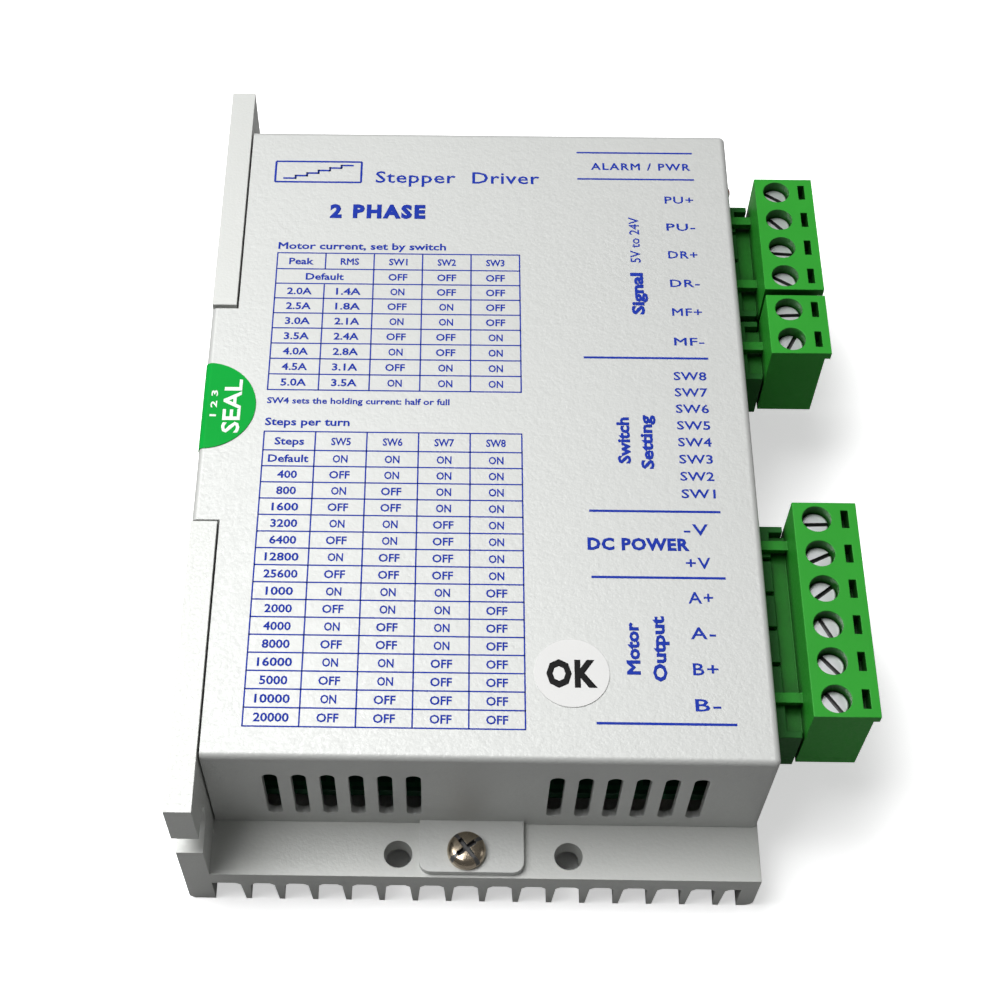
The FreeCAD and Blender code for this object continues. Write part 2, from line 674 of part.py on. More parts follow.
def terminal_plug(name, count, first, outset):
    body = new_body(f"{name}_plug")
    length, low_y = header_span(count, first)
    back = f"(plug_x + {outset})"
    tongue_tip = f"({back} - tongue_depth)"
    block(body, f"{name}_housing", ("plug_depth - lip_depth", length, "plug_height"),
          (back, low_y, "plug_low"))
    block(body, f"{name}_lip", ("plug_depth", length, "lip_height"), (back, low_y, "plug_top - lip_height"))
    slack = "(header_wall + tongue_clearance)"
    block(body, f"{name}_tongue", ("tongue_depth + join", f"{length} - 2 * {slack}",
                                   f"header_height - 2 * {slack}"),
          (tongue_tip, f"{low_y} + {slack}", f"board_top + {slack}"))
    keys = [f"{first} - {count - 1.5} * terminal_pitch"]
    if count > 2:
        keys.append(f"{first} - key_offset * terminal_pitch")
    for number, along in enumerate(keys, start=1):
        block(body, f"{name}_key_{number}",
              (f"{back} - edge_x - key_reveal + join", "key_width", "key_height"),
              ("edge_x + key_reveal", f"{along} - key_width / 2", "header_top + key_gap"))
    middle = f"({back} + well_inset)"
    for number in range(count):
        tag = f"{name}_{number + 1}"
        along = f"({first} - {number} * terminal_pitch)"
        rod(body, f"well_{tag}", "well_radius", "plug_top - head_low + past", (middle, along, "head_low"),
            cut=True)
        rod(body, f"shank_hole_{tag}", "terminal_shank_radius + shank_clearance", "plug_top - chamber_low",
            (middle, along, "chamber_low"), cut=True)
        block(body, f"chamber_{tag}", ("chamber_depth", "chamber_width", "chamber_height"),
              (f"{middle} - chamber_depth / 2", f"{along} - chamber_width / 2", "chamber_low"), cut=True)
        block(body, f"entry_{tag}", ("plug_depth", "entry_width", "clamp_height"),
              (middle, f"{along} - entry_width / 2", "chamber_low"), cut=True)
        block(body, f"strip_room_{tag}", ("tongue_depth - grip_inset + chamber_depth / 2",
                                          "strip_width + 2 * strip_clearance",
                                          "strip_top - pin_z + pin_side + grip_clearance"),
              (f"{tongue_tip} + grip_inset", f"{along} - strip_width / 2 - strip_clearance",
               "pin_z - pin_side"), cut=True)
        block(body, f"pin_entry_{tag}", ("grip_inset + 2 * past", "pin_room", "pin_room"),
              (f"{tongue_tip} - past", f"{along} - pin_room / 2", "pin_z - pin_room / 2"), cut=True)
        last = block(body, f"test_slot_{tag}",
                     ("test_slot_width", "test_slot_length", "test_slot_depth + past"),
                     (f"{back} + plug_depth - test_slot_inset - test_slot_width / 2",
                      f"{along} - test_slot_length / 2", "plug_top - test_slot_depth"), cut=True)
    body.Tip = last
    return body


def terminal_contacts(name, count, first, outset):
    """Plated strips: each grips a header pin and runs through a wire clamp."""
    body = new_body(f"{name}_contacts")
    start = f"(plug_x + {outset} - tongue_depth + grip_inset + strip_clearance)"
    reach = "tongue_depth - grip_inset - strip_clearance + well_inset + chamber_depth / 2 - grip_clearance"
    for number in range(count):
        along = f"({first} - {number} * terminal_pitch)"
        tag = f"{name}_{number + 1}"
        block(body, f"grip_{tag}",
              ("grip_length", "strip_width", "strip_top - pin_z + pin_side - grip_clearance"),
              (start, f"{along} - strip_width / 2", "pin_z - pin_side + grip_clearance"))
        block(body, f"grip_room_{tag}", ("grip_length + 2 * past", "pin_room", "pin_room"),
              (f"{start} - past", f"{along} - pin_room / 2", "pin_z - pin_room / 2"), cut=True)
        last = block(body, f"strip_{tag}", (reach, "strip_width", "strip_thickness"),
                     (start, f"{along} - strip_width / 2", "strip_top - strip_thickness"))
    body.Tip = last
    return body


def place_body(body, at, turn=0):
    body.Placement = FreeCAD.Placement(FreeCAD.Vector(), FreeCAD.Rotation(FreeCAD.Vector(0, 0, 1), turn))
    put(body, at)


def terminal_screw(name, number, first, outset, turn):
    body = new_body(f"{name}_screw_{number}")
    rod(body, f"terminal_shank_{name}_{number}", "terminal_shank_radius", "terminal_shank_length + join",
        ("0", "0", "0 - terminal_shank_length"))
    rod(body, f"terminal_head_{name}_{number}", "terminal_head_radius",
        "terminal_head_height - seat_clearance", ("0", "0", "seat_clearance"))
    block(body, f"terminal_slot_{name}_{number}",
          ("2 * (terminal_head_radius + past)", "slot_width", "slot_depth + past"),
          ("0 - terminal_head_radius - past", "0 - slot_width / 2", "terminal_head_height - slot_depth"),
          cut=True)
    place_body(body, (f"plug_x + well_inset + {outset}", f"{first} - {number - 1} * terminal_pitch",
                      "head_low"), turn)
    return body


def wire_clamp(name, number, first, outset):
    body = new_body(f"{name}_clamp_{number}")
    depth = "(chamber_depth - 2 * clamp_clearance)"
    width = "(chamber_width - 2 * clamp_clearance)"
    window = "(terminal_shank_radius + shank_clearance)"
    block(body, f"cage_{name}_{number}", (depth, width, "clamp_height"), (f"0 - {depth} / 2",
          f"0 - {width} / 2", "0"))
    block(body, f"cage_window_{name}_{number}",
          ("chamber_depth + 2 * past", f"2 * {window}", "clamp_height - clamp_top - clamp_floor"),
          ("0 - chamber_depth / 2 - past", f"0 - {window}", "clamp_floor"), cut=True)
    rod(body, f"cage_thread_{name}_{number}", "terminal_shank_radius + thread_clearance", "clamp_top + past",
        ("0", "0", "clamp_height - clamp_top - past / 2"), cut=True)
    place_body(body, (f"plug_x + well_inset + {outset}", f"{first} - {number - 1} * terminal_pitch",
                      "chamber_low + clamp_clearance"))
    return body


def circuit_board():
    body = new_body("circuit_board")
    block(body, "board", ("board_edge_x - board_x", "2 * board_end_y", "board_thickness"),
          ("board_x", "0 - board_end_y", "board_low"))
    for number, (across, along) in enumerate(board_hole_places(), start=1):
        last = rod(body, f"board_hole_{number}", "board_screw_radius + board_hole_clearance",
                   "board_thickness + 2 * past", (across, along, "board_low - past"), cut=True)
    for name, (count, first, outset) in TERMINALS.items():
        heel = f"header_x + {outset} + header_back - pin_side / 2 - pin_clearance"
        for number in range(count):
            last = rod(body, f"pin_hole_{name}_{number + 1}", "pin_hole_radius", "board_thickness + 2 * past",
                       (heel, f"{first} - {number} * terminal_pitch", "board_low - past"), cut=True)
    body.Tip = last
    return body


def board_hole_places():
    return [(across, along) for along in ("0 - board_hole_y", "board_hole_y")
            for across in ("board_hole_left_x", "board_hole_right_x")]


def board_spacers():
    body = new_body("board_spacers")
    for number, (across, along) in enumerate(board_hole_places(), start=1):
        rod(body, f"spacer_{number}", "spacer_radius", "board_gap", (across, along, "plate_z"))
        last = rod(body, f"spacer_bore_{number}", "board_screw_radius + board_hole_clearance",
                   "board_gap + 2 * past", (across, along, "plate_z - past"), cut=True)
    body.Tip = last
    return body


def plain_blocks(label, size, places):
    body = new_body(label)
    for number, at in enumerate(places, start=1):
        last = block(body, f"{label}_{number}", size, at)
    body.Tip = last
    return body


def driver_chips_and_pads():
    places = [("chip_across - chip_width / 2", f"0 {side} chip_spread / 2 - chip_length / 2")
              for side in ("-", "+")]
    chips = plain_blocks("driver_chips", ("chip_width", "chip_length", "chip_thickness"),
                         [(across, along, "board_low - chip_thickness") for across, along in places])
    pads = plain_blocks("gap_pads", ("chip_width", "chip_length", "board_gap - chip_thickness"),
                        [(across, along, "plate_z") for across, along in places])
    return [chips, pads]


def bulk_capacitors():
    body = new_body("bulk_capacitors")
    for number, side in enumerate(("-", "+"), start=1):
        last = rod(body, f"can_{number}", "capacitor_radius", "capacitor_height",
                   ("capacitor_across", f"capacitor_along {side} capacitor_spread / 2", "board_top"))
    doc.recompute()
    top = last.Shape.BoundBox.ZMax
    round_edges(body, "can_shoulders", last, lambda edge: abs(edge.BoundBox.ZMin - top) < SAME,
                "can_shoulder")
    return body


def controller_chip():
    return plain_blocks("controller_chip", ("controller_size", "controller_size", "controller_thickness"),
                        [("0 - controller_offset", "0 - controller_offset", "board_top")])


def optocouplers():
    places = [("header_x - opto_width - opto_gap", f"{number} * opto_pitch", "board_top")
              for number in range(SIZES["opto_count"])]
    return plain_blocks("optocouplers", ("opto_width", "opto_length", "opto_height"), places)


def switch_bank():
    body = new_body("switch_bank")
    block(body, "bank", ("switch_depth", "switch_length", "switch_height"),
          ("switch_front - switch_depth", "switch_y - switch_length / 2", "board_top"))
    first = "switch_y - (switch_count - 1) * switch_pitch / 2"
    room = "slider_side + slider_travel + 2 * slider_clearance"
    slot = block(body, "slider_slot", ("slider_depth + slider_clearance + past",
                                       "slider_width + 2 * slider_clearance", room),
                 ("switch_front - slider_depth - slider_clearance",
                  f"{first} - slider_width / 2 - slider_clearance", f"switch_middle - ({room}) / 2"),
                 cut=True)
    repeat(body, "slider_slots", [slot], "Y_Axis", "switch_pitch", "switch_count")
    return body


def switch_slider(number):
    along = f"switch_y - (switch_count + 1) * switch_pitch / 2 + {number} * switch_pitch"
    return plain_blocks(f"switch_slider_{number}",
                        ("slider_depth + slider_proud", "slider_width", "slider_side"),
                        [("switch_front - slider_depth", f"{along} - slider_width / 2",
                          "switch_middle - (slider_side + slider_travel) / 2")])


def indicator(label, height, setback):
    """A round-nosed lamp that looks out through the cover, on a block that stands on the board."""
    body = new_body(label)
    tip = "edge_x + led_proud"
    start = f"({tip} - led_length - {setback})"
    rod(body, f"{label}_lens", "led_radius", f"led_length + {setback}", (start, "led_along", height), "x")
    doc.recompute()
    lens = body.Tip
    end = lens.Shape.BoundBox.XMax
    round_edges(body, f"{label}_nose", lens, lambda edge: abs(edge.BoundBox.XMin - end) < SAME,
                "led_radius - led_flat")
    body.Tip = block(body, f"{label}_block",
                     ("led_base", "2 * led_radius", f"{height} + led_radius - board_top"),
                     (f"{start} - led_base + join", "led_along - led_radius", "board_top"))
    return body


def build_all():
    parts = [heat_sink(), cover()]
    ends = [("end_screw_x", f"0 {side} base_hole_y") for side in ("-", "+")]
    parts.append(pan_screws("cover_end_screws", "screw_radius", "screw_head_radius", "screw_head_height",
                            "plate_thickness", ends, "cover_low + sheet"))
    parts.append(cover_side_screw())
    parts += [seal_label(), round_label(), circuit_board(), board_spacers()]
    parts.append(pan_screws("board_screws", "board_screw_radius", "board_head_radius", "board_head_height",
                            "(board_thickness + board_gap + plate_thickness - thread_floor - thread_spare)",
                            board_hole_places(),
                            "board_top"))
    parts += driver_chips_and_pads()
    parts += [bulk_capacitors(), controller_chip(), optocouplers(), header_pins(), switch_bank()]
    parts += [switch_slider(number) for number in range(1, SIZES["switch_count"] + 1)]
    parts.append(indicator("led_power", "led_low", "0"))
    parts.append(indicator("led_alarm", "led_low + led_spacing", "led_base"))
    for name, (count, first, outset) in TERMINALS.items():
        parts.append(terminal_header(name, count, first, outset))
        parts.append(terminal_plug(name, count, first, outset))
        parts.append(terminal_contacts(name, count, first, outset))
        for number in range(1, count + 1):
            parts.append(terminal_screw(name, number, first, outset, SLOT_TURNS[name][number - 1]))
            parts.append(wire_clamp(name, number, first, outset))
    return parts


def check_document():
    for item in doc.Objects:
        if "Invalid" in item.State or "Error" in item.State:
            raise SystemExit(f"{item.Name} failed: {item.State}")


make_sheet()
sub_parts = build_all()
doc.recompute()
check_document()
for part in sub_parts:
    if part.Shape.isNull() or not part.Shape.isValid():
        raise SystemExit(f"{part.Label} has no valid shape")
os.makedirs("parts", exist_ok=True)
for part in sub_parts:
    part.Shape.exportStep(f"parts/{part.Label}.step")
print(len(sub_parts), "sub-parts written")
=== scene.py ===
import bmesh
import bpy
import math
from mathutils import Euler, Matrix, Vector


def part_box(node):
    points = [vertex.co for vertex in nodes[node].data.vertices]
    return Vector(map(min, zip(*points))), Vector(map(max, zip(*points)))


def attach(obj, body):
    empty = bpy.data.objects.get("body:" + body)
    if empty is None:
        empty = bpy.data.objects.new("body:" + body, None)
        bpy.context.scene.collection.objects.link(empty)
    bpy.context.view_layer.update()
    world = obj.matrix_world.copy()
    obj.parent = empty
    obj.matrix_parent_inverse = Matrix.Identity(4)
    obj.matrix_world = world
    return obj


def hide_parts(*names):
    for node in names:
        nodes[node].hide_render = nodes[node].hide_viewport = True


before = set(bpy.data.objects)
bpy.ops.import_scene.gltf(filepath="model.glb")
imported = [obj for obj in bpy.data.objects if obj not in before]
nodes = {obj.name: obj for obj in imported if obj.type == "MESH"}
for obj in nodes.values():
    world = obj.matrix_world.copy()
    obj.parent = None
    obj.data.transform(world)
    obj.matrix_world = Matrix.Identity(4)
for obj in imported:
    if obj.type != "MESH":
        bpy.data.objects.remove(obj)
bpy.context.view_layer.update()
MM = 0.001


# ---------------------------------------------------------------- heat sink
# One aluminium extrusion with a side wall and fifteen fins, sawn to length, bead blasted and
# clear anodised. It is the chassis: everything else is screwed to it.

def effect_group(name, inputs, outputs):
    """An empty shader group with named number and colour sockets."""
    tree = bpy.data.node_groups.new(name, "ShaderNodeTree")
    for label, value in inputs.items():
        socket = tree.interface.new_socket(name=label, in_out="INPUT", socket_type="NodeSocketFloat")
        socket.default_value = value
    for label, kind in outputs.items():
        tree.interface.new_socket(name=label, in_out="OUTPUT", socket_type=kind)
    entry = tree.nodes.new("NodeGroupInput")
    leave = tree.nodes.new("NodeGroupOutput")
    return tree, entry, leave


def add(tree, kind, links=(), **settings):
    """A node with its settings made and its inputs linked or set, by socket name or number."""
    node = tree.nodes.new(kind)
    for name, value in settings.items():
        setattr(node, name, value)
    for socket, value in links:
        if isinstance(value, bpy.types.NodeSocket):
            tree.links.new(value, node.inputs[socket])
        else:
            node.inputs[socket].default_value = value
    return node


def make_mottle():
    """Slow, cloudy change of shade, as a coat or a rolled skin has."""
    tree, entry, leave = effect_group("mottle", {"Scale": 60.0, "Amount": 0.05}, {"Shade": "NodeSocketFloat"})
    place = add(tree, "ShaderNodeTexCoord")
    clouds = add(tree, "ShaderNodeTexNoise", [
        ("Vector", place.outputs["Object"]), ("Scale", entry.outputs["Scale"]), ("Detail", 4.0)])
    centred = add(tree, "ShaderNodeMath", [(0, clouds.outputs["Fac"]), (1, 0.5)], operation="SUBTRACT")
    swing = add(tree, "ShaderNodeMath", [(0, centred.outputs[0]), (1, entry.outputs["Amount"])],
                operation="MULTIPLY")
    shade = add(tree, "ShaderNodeMath", [(0, swing.outputs[0]), (1, 1.0)], operation="ADD")
    tree.links.new(shade.outputs[0], leave.inputs["Shade"])
    return tree


def make_grain():
    """Fine texture: a roughness between two ends, and the height that a bump reads."""
    tree, entry, leave = effect_group(
        "grain", {"Scale": 3000.0, "Smooth End": 0.3, "Rough End": 0.5, "Stretch": 1.0},
        {"Roughness": "NodeSocketFloat", "Height": "NodeSocketFloat"})
    place = add(tree, "ShaderNodeTexCoord")
    along = add(tree, "ShaderNodeCombineXYZ", [("X", 1.0), ("Y", entry.outputs["Stretch"]), ("Z", 1.0)])
    drawn = add(tree, "ShaderNodeVectorMath", [(0, place.outputs["Object"]), (1, along.outputs[0])],
                operation="MULTIPLY")
    specks = add(tree, "ShaderNodeTexNoise", [
        ("Vector", drawn.outputs[0]), ("Scale", entry.outputs["Scale"]), ("Detail", 3.0)])
    rough = add(tree, "ShaderNodeMapRange", [
        ("Value", specks.outputs["Fac"]), ("From Min", 0.3), ("From Max", 0.7),
        ("To Min", entry.outputs["Smooth End"]), ("To Max", entry.outputs["Rough End"])])
    tree.links.new(rough.outputs["Result"], leave.inputs["Roughness"])
    tree.links.new(specks.outputs["Fac"], leave.inputs["Height"])
    return tree


def make_rubbed_edges():
    """A mask of the outer edges, broken up by noise, for a tint there: painted edge highlight with some wear
    where the tint is paler, painted shade where it is darker.
    """
    tree, entry, leave = effect_group(
        "rubbed_edges", {"Radius": 0.0002, "Breakup Scale": 900.0}, {"Mask": "NodeSocketFloat"})
    rounded = add(tree, "ShaderNodeBevel", [("Radius", entry.outputs["Radius"])], samples=4)
    real = add(tree, "ShaderNodeNewGeometry")
    agree = add(tree, "ShaderNodeVectorMath", [(0, rounded.outputs[0]), (1, real.outputs["Normal"])],
                operation="DOT_PRODUCT")
    edge = add(tree, "ShaderNodeMapRange", [
        ("Value", agree.outputs["Value"]), ("From Min", 0.98), ("From Max", 0.8)])
    place = add(tree, "ShaderNodeTexCoord")
    patches = add(tree, "ShaderNodeTexNoise", [
        ("Vector", place.outputs["Object"]), ("Scale", entry.outputs["Breakup Scale"]), ("Detail", 3.0)])
    kept = add(tree, "ShaderNodeMapRange", [
        ("Value", patches.outputs["Fac"]), ("From Min", 0.42), ("From Max", 0.62)])
    mask = add(tree, "ShaderNodeMath", [(0, edge.outputs["Result"]), (1, kept.outputs["Result"])],
               operation="MULTIPLY")
    tree.links.new(mask.outputs[0], leave.inputs["Mask"])
    return tree


MOTTLE = make_mottle()
GRAIN = make_grain()
EDGE_TINT_MASK = make_rubbed_edges()


def place_effect(tree, group, **values):
    """One of the shared effects, placed in a material with its numbers set."""
    node = add(tree, "ShaderNodeGroup", node_tree=group)
    for name, value in values.items():
        node.inputs[name.replace("_", " ")].default_value = value
    return node


def finish_material(name, colour, rough, metallic=0.0, mottle=(60.0, 0.08), grain=(3000.0, 1.0),
                    bump=0.02, edge=None, soften=0.00008, coat=0.0, specular=0.5):
    """A Principled material: mottled colour, grained roughness, fine bump, softened edges."""
    material = bpy.data.materials.new(name)
    material.use_nodes = True
    tree = material.node_tree
    shader = tree.nodes["Principled BSDF"]
    shader.inputs["Metallic"].default_value = metallic
    shader.inputs["Coat Weight"].default_value = coat
    shader.inputs["Coat Roughness"].default_value = 0.12
    shader.inputs["Specular IOR Level"].default_value = specular
    shades = place_effect(tree, MOTTLE, Scale=mottle[0], Amount=mottle[1] * 2)
    tinted = add(tree, "ShaderNodeVectorMath", [(0, colour), (1, shades.outputs["Shade"])],
                 operation="MULTIPLY")
    tone = tinted.outputs[0]
    # The edge tint is painted light: a paler tint is a painted edge highlight with some wear, and a darker
    # one, as on the cover's bends, is painted shade.
    if edge:
        edge_tint_node = place_effect(tree, EDGE_TINT_MASK, Radius=edge[1], Breakup_Scale=900.0)
        strength = add(tree, "ShaderNodeMath", [(0, edge_tint_node.outputs["Mask"]), (1, edge[2])],
                       operation="MULTIPLY")
        blend = add(tree, "ShaderNodeMix", [("Factor", strength.outputs[0])], data_type="RGBA")
        tree.links.new(tone, blend.inputs[6])
        blend.inputs[7].default_value = (*edge[0], 1.0)
        tone = blend.outputs[2]
    tree.links.new(tone, shader.inputs["Base Color"])
    fine = place_effect(tree, GRAIN, Scale=grain[0], Smooth_End=rough[0], Rough_End=rough[1],
                        Stretch=grain[1])
    tree.links.new(fine.outputs["Roughness"], shader.inputs["Roughness"])
    rounded = add(tree, "ShaderNodeBevel", [("Radius", soften)], samples=4)
    dents = add(tree, "ShaderNodeBump", [
        ("Height", fine.outputs["Height"]), ("Strength", bump), ("Distance", 0.0002),
        ("Normal", rounded.outputs[0])])
    tree.links.new(dents.outputs[0], shader.inputs["Normal"])
    return material


def dress(material, *names):
    """A CAD node keeps its shape and takes this material."""
    for name in names:
        nodes[name].data.materials.clear()
        nodes[name].data.materials.append(material)


def make_anodised():
    """Blasted aluminium, with saw marks where its ends were cut."""
    material = finish_material("blasted_aluminium", (0.57, 0.58, 0.56), (0.44, 0.58), metallic=0.3,
                               mottle=(45.0, 0.05), grain=(2600.0, 1.0), bump=0.14,
                               edge=((0.72, 0.73, 0.72), 0.00018, 0.6), soften=0.00012)
    tree = material.node_tree
    shader = tree.nodes["Principled BSDF"]
    dents = shader.inputs["Normal"].links[0].from_node
    real = add(tree, "ShaderNodeNewGeometry")
    parts = add(tree, "ShaderNodeSeparateXYZ", [("Vector", real.outputs["Normal"])])
    cut_end = add(tree, "ShaderNodeMath", [(0, parts.outputs["Y"])], operation="ABSOLUTE")
    on_end = add(tree, "ShaderNodeMapRange", [
        ("Value", cut_end.outputs[0]), ("From Min", 0.9), ("From Max", 0.99)])
    place = add(tree, "ShaderNodeTexCoord")
    turned = add(tree, "ShaderNodeMapping", [
        ("Vector", place.outputs["Object"]), ("Rotation", (0.0, math.radians(12), 0.0)),
        ("Scale", (60.0, 60.0, 5200.0))])
    strokes = add(tree, "ShaderNodeTexNoise", [
        ("Vector", turned.outputs[0]), ("Scale", 1.0), ("Detail", 2.0)])
    marks = add(tree, "ShaderNodeMath", [(0, strokes.outputs["Fac"]), (1, on_end.outputs["Result"])],
                operation="MULTIPLY")
    sawn = add(tree, "ShaderNodeBump", [
        ("Height", marks.outputs[0]), ("Strength", 0.12), ("Distance", 0.0001),
        ("Normal", dents.outputs[0])])
    tree.links.new(sawn.outputs[0], shader.inputs["Normal"])
    return material


dress(make_anodised(), "heat_sink")


# ------------------------------------------------- circuit board and spacers
# A glass-fibre board with green solder mask stands on four turned brass spacers, and four
# pan-head screws hold it down.

def make_solder_mask():
    """Green lacquer over copper: a paler lattice where the traces run."""
    material = finish_material("solder_mask", (0.006, 0.055, 0.022), (0.30, 0.42), mottle=(80.0, 0.2),
                               grain=(5000.0, 1.0), bump=0.02, coat=0.4)
    tree = material.node_tree
    shader = tree.nodes["Principled BSDF"]
    plain = shader.inputs["Base Color"].links[0].from_socket
    place = add(tree, "ShaderNodeTexCoord")
    lattice = add(tree, "ShaderNodeTexBrick", [
        ("Vector", place.outputs["Object"]), ("Scale", 160.0), ("Mortar Size", 0.05),
        ("Brick Width", 0.9), ("Row Height", 0.22)])
    traces = add(tree, "ShaderNodeMix", [("Factor", lattice.outputs["Fac"])], data_type="RGBA")
    tree.links.new(plain, traces.inputs[6])
    traces.inputs[7].default_value = (0.012, 0.10, 0.04, 1.0)
    tree.links.new(traces.outputs[2], shader.inputs["Base Color"])
    return material


zinc = finish_material("zinc_plate", (0.62, 0.62, 0.60), (0.22, 0.38), metallic=1.0, mottle=(400.0, 0.12),
                       grain=(6000.0, 1.0), bump=0.03, edge=((0.85, 0.85, 0.84), 0.00012, 0.6))
dress(make_solder_mask(), "circuit_board")
dress(finish_material("turned_brass", (0.66, 0.47, 0.19), (0.2, 0.36), metallic=1.0, mottle=(300.0, 0.1),
                      grain=(7000.0, 1.0), bump=0.03), "board_spacers")
dress(zinc, "board_screws")


# --------------------------------------------- chips, pads and capacitors
# Two power chips hang under the board against soft grey pads that lead their heat into the
# base plate. The capacitors, controller and optocouplers stand on top of the board.

moulded_black = finish_material("moulded_black", (0.022, 0.022, 0.024), (0.42, 0.6), mottle=(200.0, 0.15),
                                grain=(5200.0, 1.0), bump=0.08, edge=((0.08, 0.08, 0.085), 0.00015, 0.5))
dress(moulded_black, "driver_chips", "controller_chip")
dress(finish_material("soft_pad", (0.30, 0.32, 0.36), (0.7, 0.85), mottle=(350.0, 0.1),
                      grain=(2200.0, 1.0), bump=0.15), "gap_pads")
dress(finish_material("can_sleeve", (0.016, 0.02, 0.05), (0.18, 0.3), mottle=(120.0, 0.1),
                      grain=(2500.0, 0.1), bump=0.03, coat=0.3), "bulk_capacitors")
dress(finish_material("opto_white", (0.70, 0.70, 0.66), (0.4, 0.55), mottle=(200.0, 0.06),
                      grain=(4200.0, 1.0), bump=0.05), "optocouplers")
tin = finish_material("tin_plate", (0.74, 0.73, 0.70), (0.26, 0.42), metallic=1.0, mottle=(500.0, 0.1),
                      grain=(5200.0, 1.0), bump=0.04)
dress(tin, "header_pins")


def plain_mesh(source, name, material=None):
    """The evaluated shape of an object as an ordinary mesh piece; the source is removed."""
    bpy.context.view_layer.update()
    shape = bpy.data.meshes.new_from_object(source.evaluated_get(bpy.context.evaluated_depsgraph_get()))
    shape.name = name
    if material:
        shape.materials.clear()
        shape.materials.append(material)
    bpy.data.objects.remove(source)
    piece = bpy.data.objects.new(name, shape)
    bpy.context.scene.collection.objects.link(piece)
    return piece


def shape_tree(name, inputs):
    """An empty Geometry Nodes tree with named inputs, each (socket type, value)."""
    tree = bpy.data.node_groups.new(name, "GeometryNodeTree")
    tree.interface.new_socket(name="Geometry", in_out="INPUT", socket_type="NodeSocketGeometry")
    for label, (kind, value) in inputs.items():
        socket = tree.interface.new_socket(name=label, in_out="INPUT", socket_type=kind)
        socket.default_value = value
    tree.interface.new_socket(name="Geometry", in_out="OUTPUT", socket_type="NodeSocketGeometry")
    return tree, tree.nodes.new("NodeGroupInput"), tree.nodes.new("NodeGroupOutput")


def run_tree(tree, name, material, start=None, **values):
    """Runs a tree once on a start mesh with these inputs and keeps the plain result."""
    source = bpy.data.objects.new(name + "_source", start or bpy.data.meshes.new(name + "_start"))
    bpy.context.scene.collection.objects.link(source)
    modifier = source.modifiers.new("shape", "NODES")
    modifier.node_group = tree
    for item in tree.interface.items_tree:
        if item.in_out == "INPUT" and item.name.replace(" ", "_") in values:
            modifier[item.identifier] = values[item.name.replace(" ", "_")]
    return plain_mesh(source, name, material)


def end_tree(tree, leave, geometry, material):
    """Closes a tree: realised instances, then the material."""
    real = add(tree, "GeometryNodeRealizeInstances", [("Geometry", geometry)])
    finished = add(tree, "GeometryNodeSetMaterial", [("Geometry", real.outputs[0]), ("Material", material)])
    tree.links.new(finished.outputs[0], leave.inputs[0])


def make_leg_row():
    """A chip's row of bent strips: a shoulder, a leg down and a foot on the board."""
    tree, entry, leave = shape_tree("leg_row", {
        "Count": ("NodeSocketInt", 8), "First": ("NodeSocketVector", (0, 0, 0)),
        "Step": ("NodeSocketVector", (0, 0, 0)), "Turn": ("NodeSocketFloat", 0.0),
        "Width": ("NodeSocketFloat", 0.3 * MM), "Drop": ("NodeSocketFloat", 1.0 * MM)})
    line = add(tree, "GeometryNodeMeshLine", [
        ("Count", entry.outputs["Count"]), ("Start Location", entry.outputs["First"]),
        ("Offset", entry.outputs["Step"])], mode="OFFSET")
    gauge = 0.18 * MM
    reach = 0.55 * MM
    strips = add(tree, "GeometryNodeJoinGeometry")
    lowered = add(tree, "ShaderNodeMath", [(0, entry.outputs["Drop"]), (1, -1.0)], operation="MULTIPLY")
    half_down = add(tree, "ShaderNodeMath", [(0, entry.outputs["Drop"]), (1, -0.5)], operation="MULTIPLY")
    for start_x, length, height in ((-0.1 * MM, reach, None), (reach - gauge, gauge, "leg"),
                                    (reach - gauge, 0.6 * MM, "foot")):
        tall = entry.outputs["Drop"] if height == "leg" else gauge
        size = add(tree, "ShaderNodeCombineXYZ", [("X", length), ("Y", entry.outputs["Width"]), ("Z", tall)])
        cube = add(tree, "GeometryNodeMeshCube", [("Size", size.outputs[0])])
        level = {"leg": half_down.outputs[0], "foot": lowered.outputs[0]}.get(height, 0.0)
        spot = add(tree, "ShaderNodeCombineXYZ", [("X", start_x + length / 2), ("Y", 0.0), ("Z", level)])
        moved = add(tree, "GeometryNodeTransform", [
            ("Geometry", cube.outputs["Mesh"]), ("Translation", spot.outputs[0])])
        tree.links.new(moved.outputs[0], strips.inputs[0])
    heading = add(tree, "ShaderNodeCombineXYZ", [("X", 0.0), ("Y", 0.0), ("Z", entry.outputs["Turn"])])
    copies = add(tree, "GeometryNodeInstanceOnPoints", [
        ("Points", line.outputs["Mesh"]), ("Instance", strips.outputs[0]), ("Rotation", heading.outputs[0])])
    end_tree(tree, leave, copies.outputs[0], tin)
    return tree


LEG_ROW = make_leg_row()


FOOT_LIFT = 0.09 * MM


def leg_rows(name, low, high, count, width, sides):
    """Rows of legs along the named sides of a chip whose body lies between two corners."""
    board_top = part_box("circuit_board")[1].z
    level = (low.z + high.z) / 2
    drop = level - board_top - FOOT_LIFT
    for side in sides:
        across = side in ("left", "right")
        length = (high.y - low.y) if across else (high.x - low.x)
        pitch = length / (count + 0.5)
        begin = -pitch * (count - 1) / 2
        centre = (low + high) / 2
        turn = {"right": 0.0, "far": math.pi / 2, "left": math.pi, "near": -math.pi / 2}[side]
        edge = {"right": (high.x, centre.y), "left": (low.x, centre.y),
                "far": (centre.x, high.y), "near": (centre.x, low.y)}[side]
        step = (0.0, pitch, 0.0) if across else (pitch, 0.0, 0.0)
        first = (edge[0] + (0.0 if across else begin), edge[1] + (begin if across else 0.0), level)
        row = run_tree(LEG_ROW, f"{name}_{side}", tin, Count=count, First=first, Step=step,
                       Turn=turn, Width=width, Drop=drop)
        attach(row, "drive")


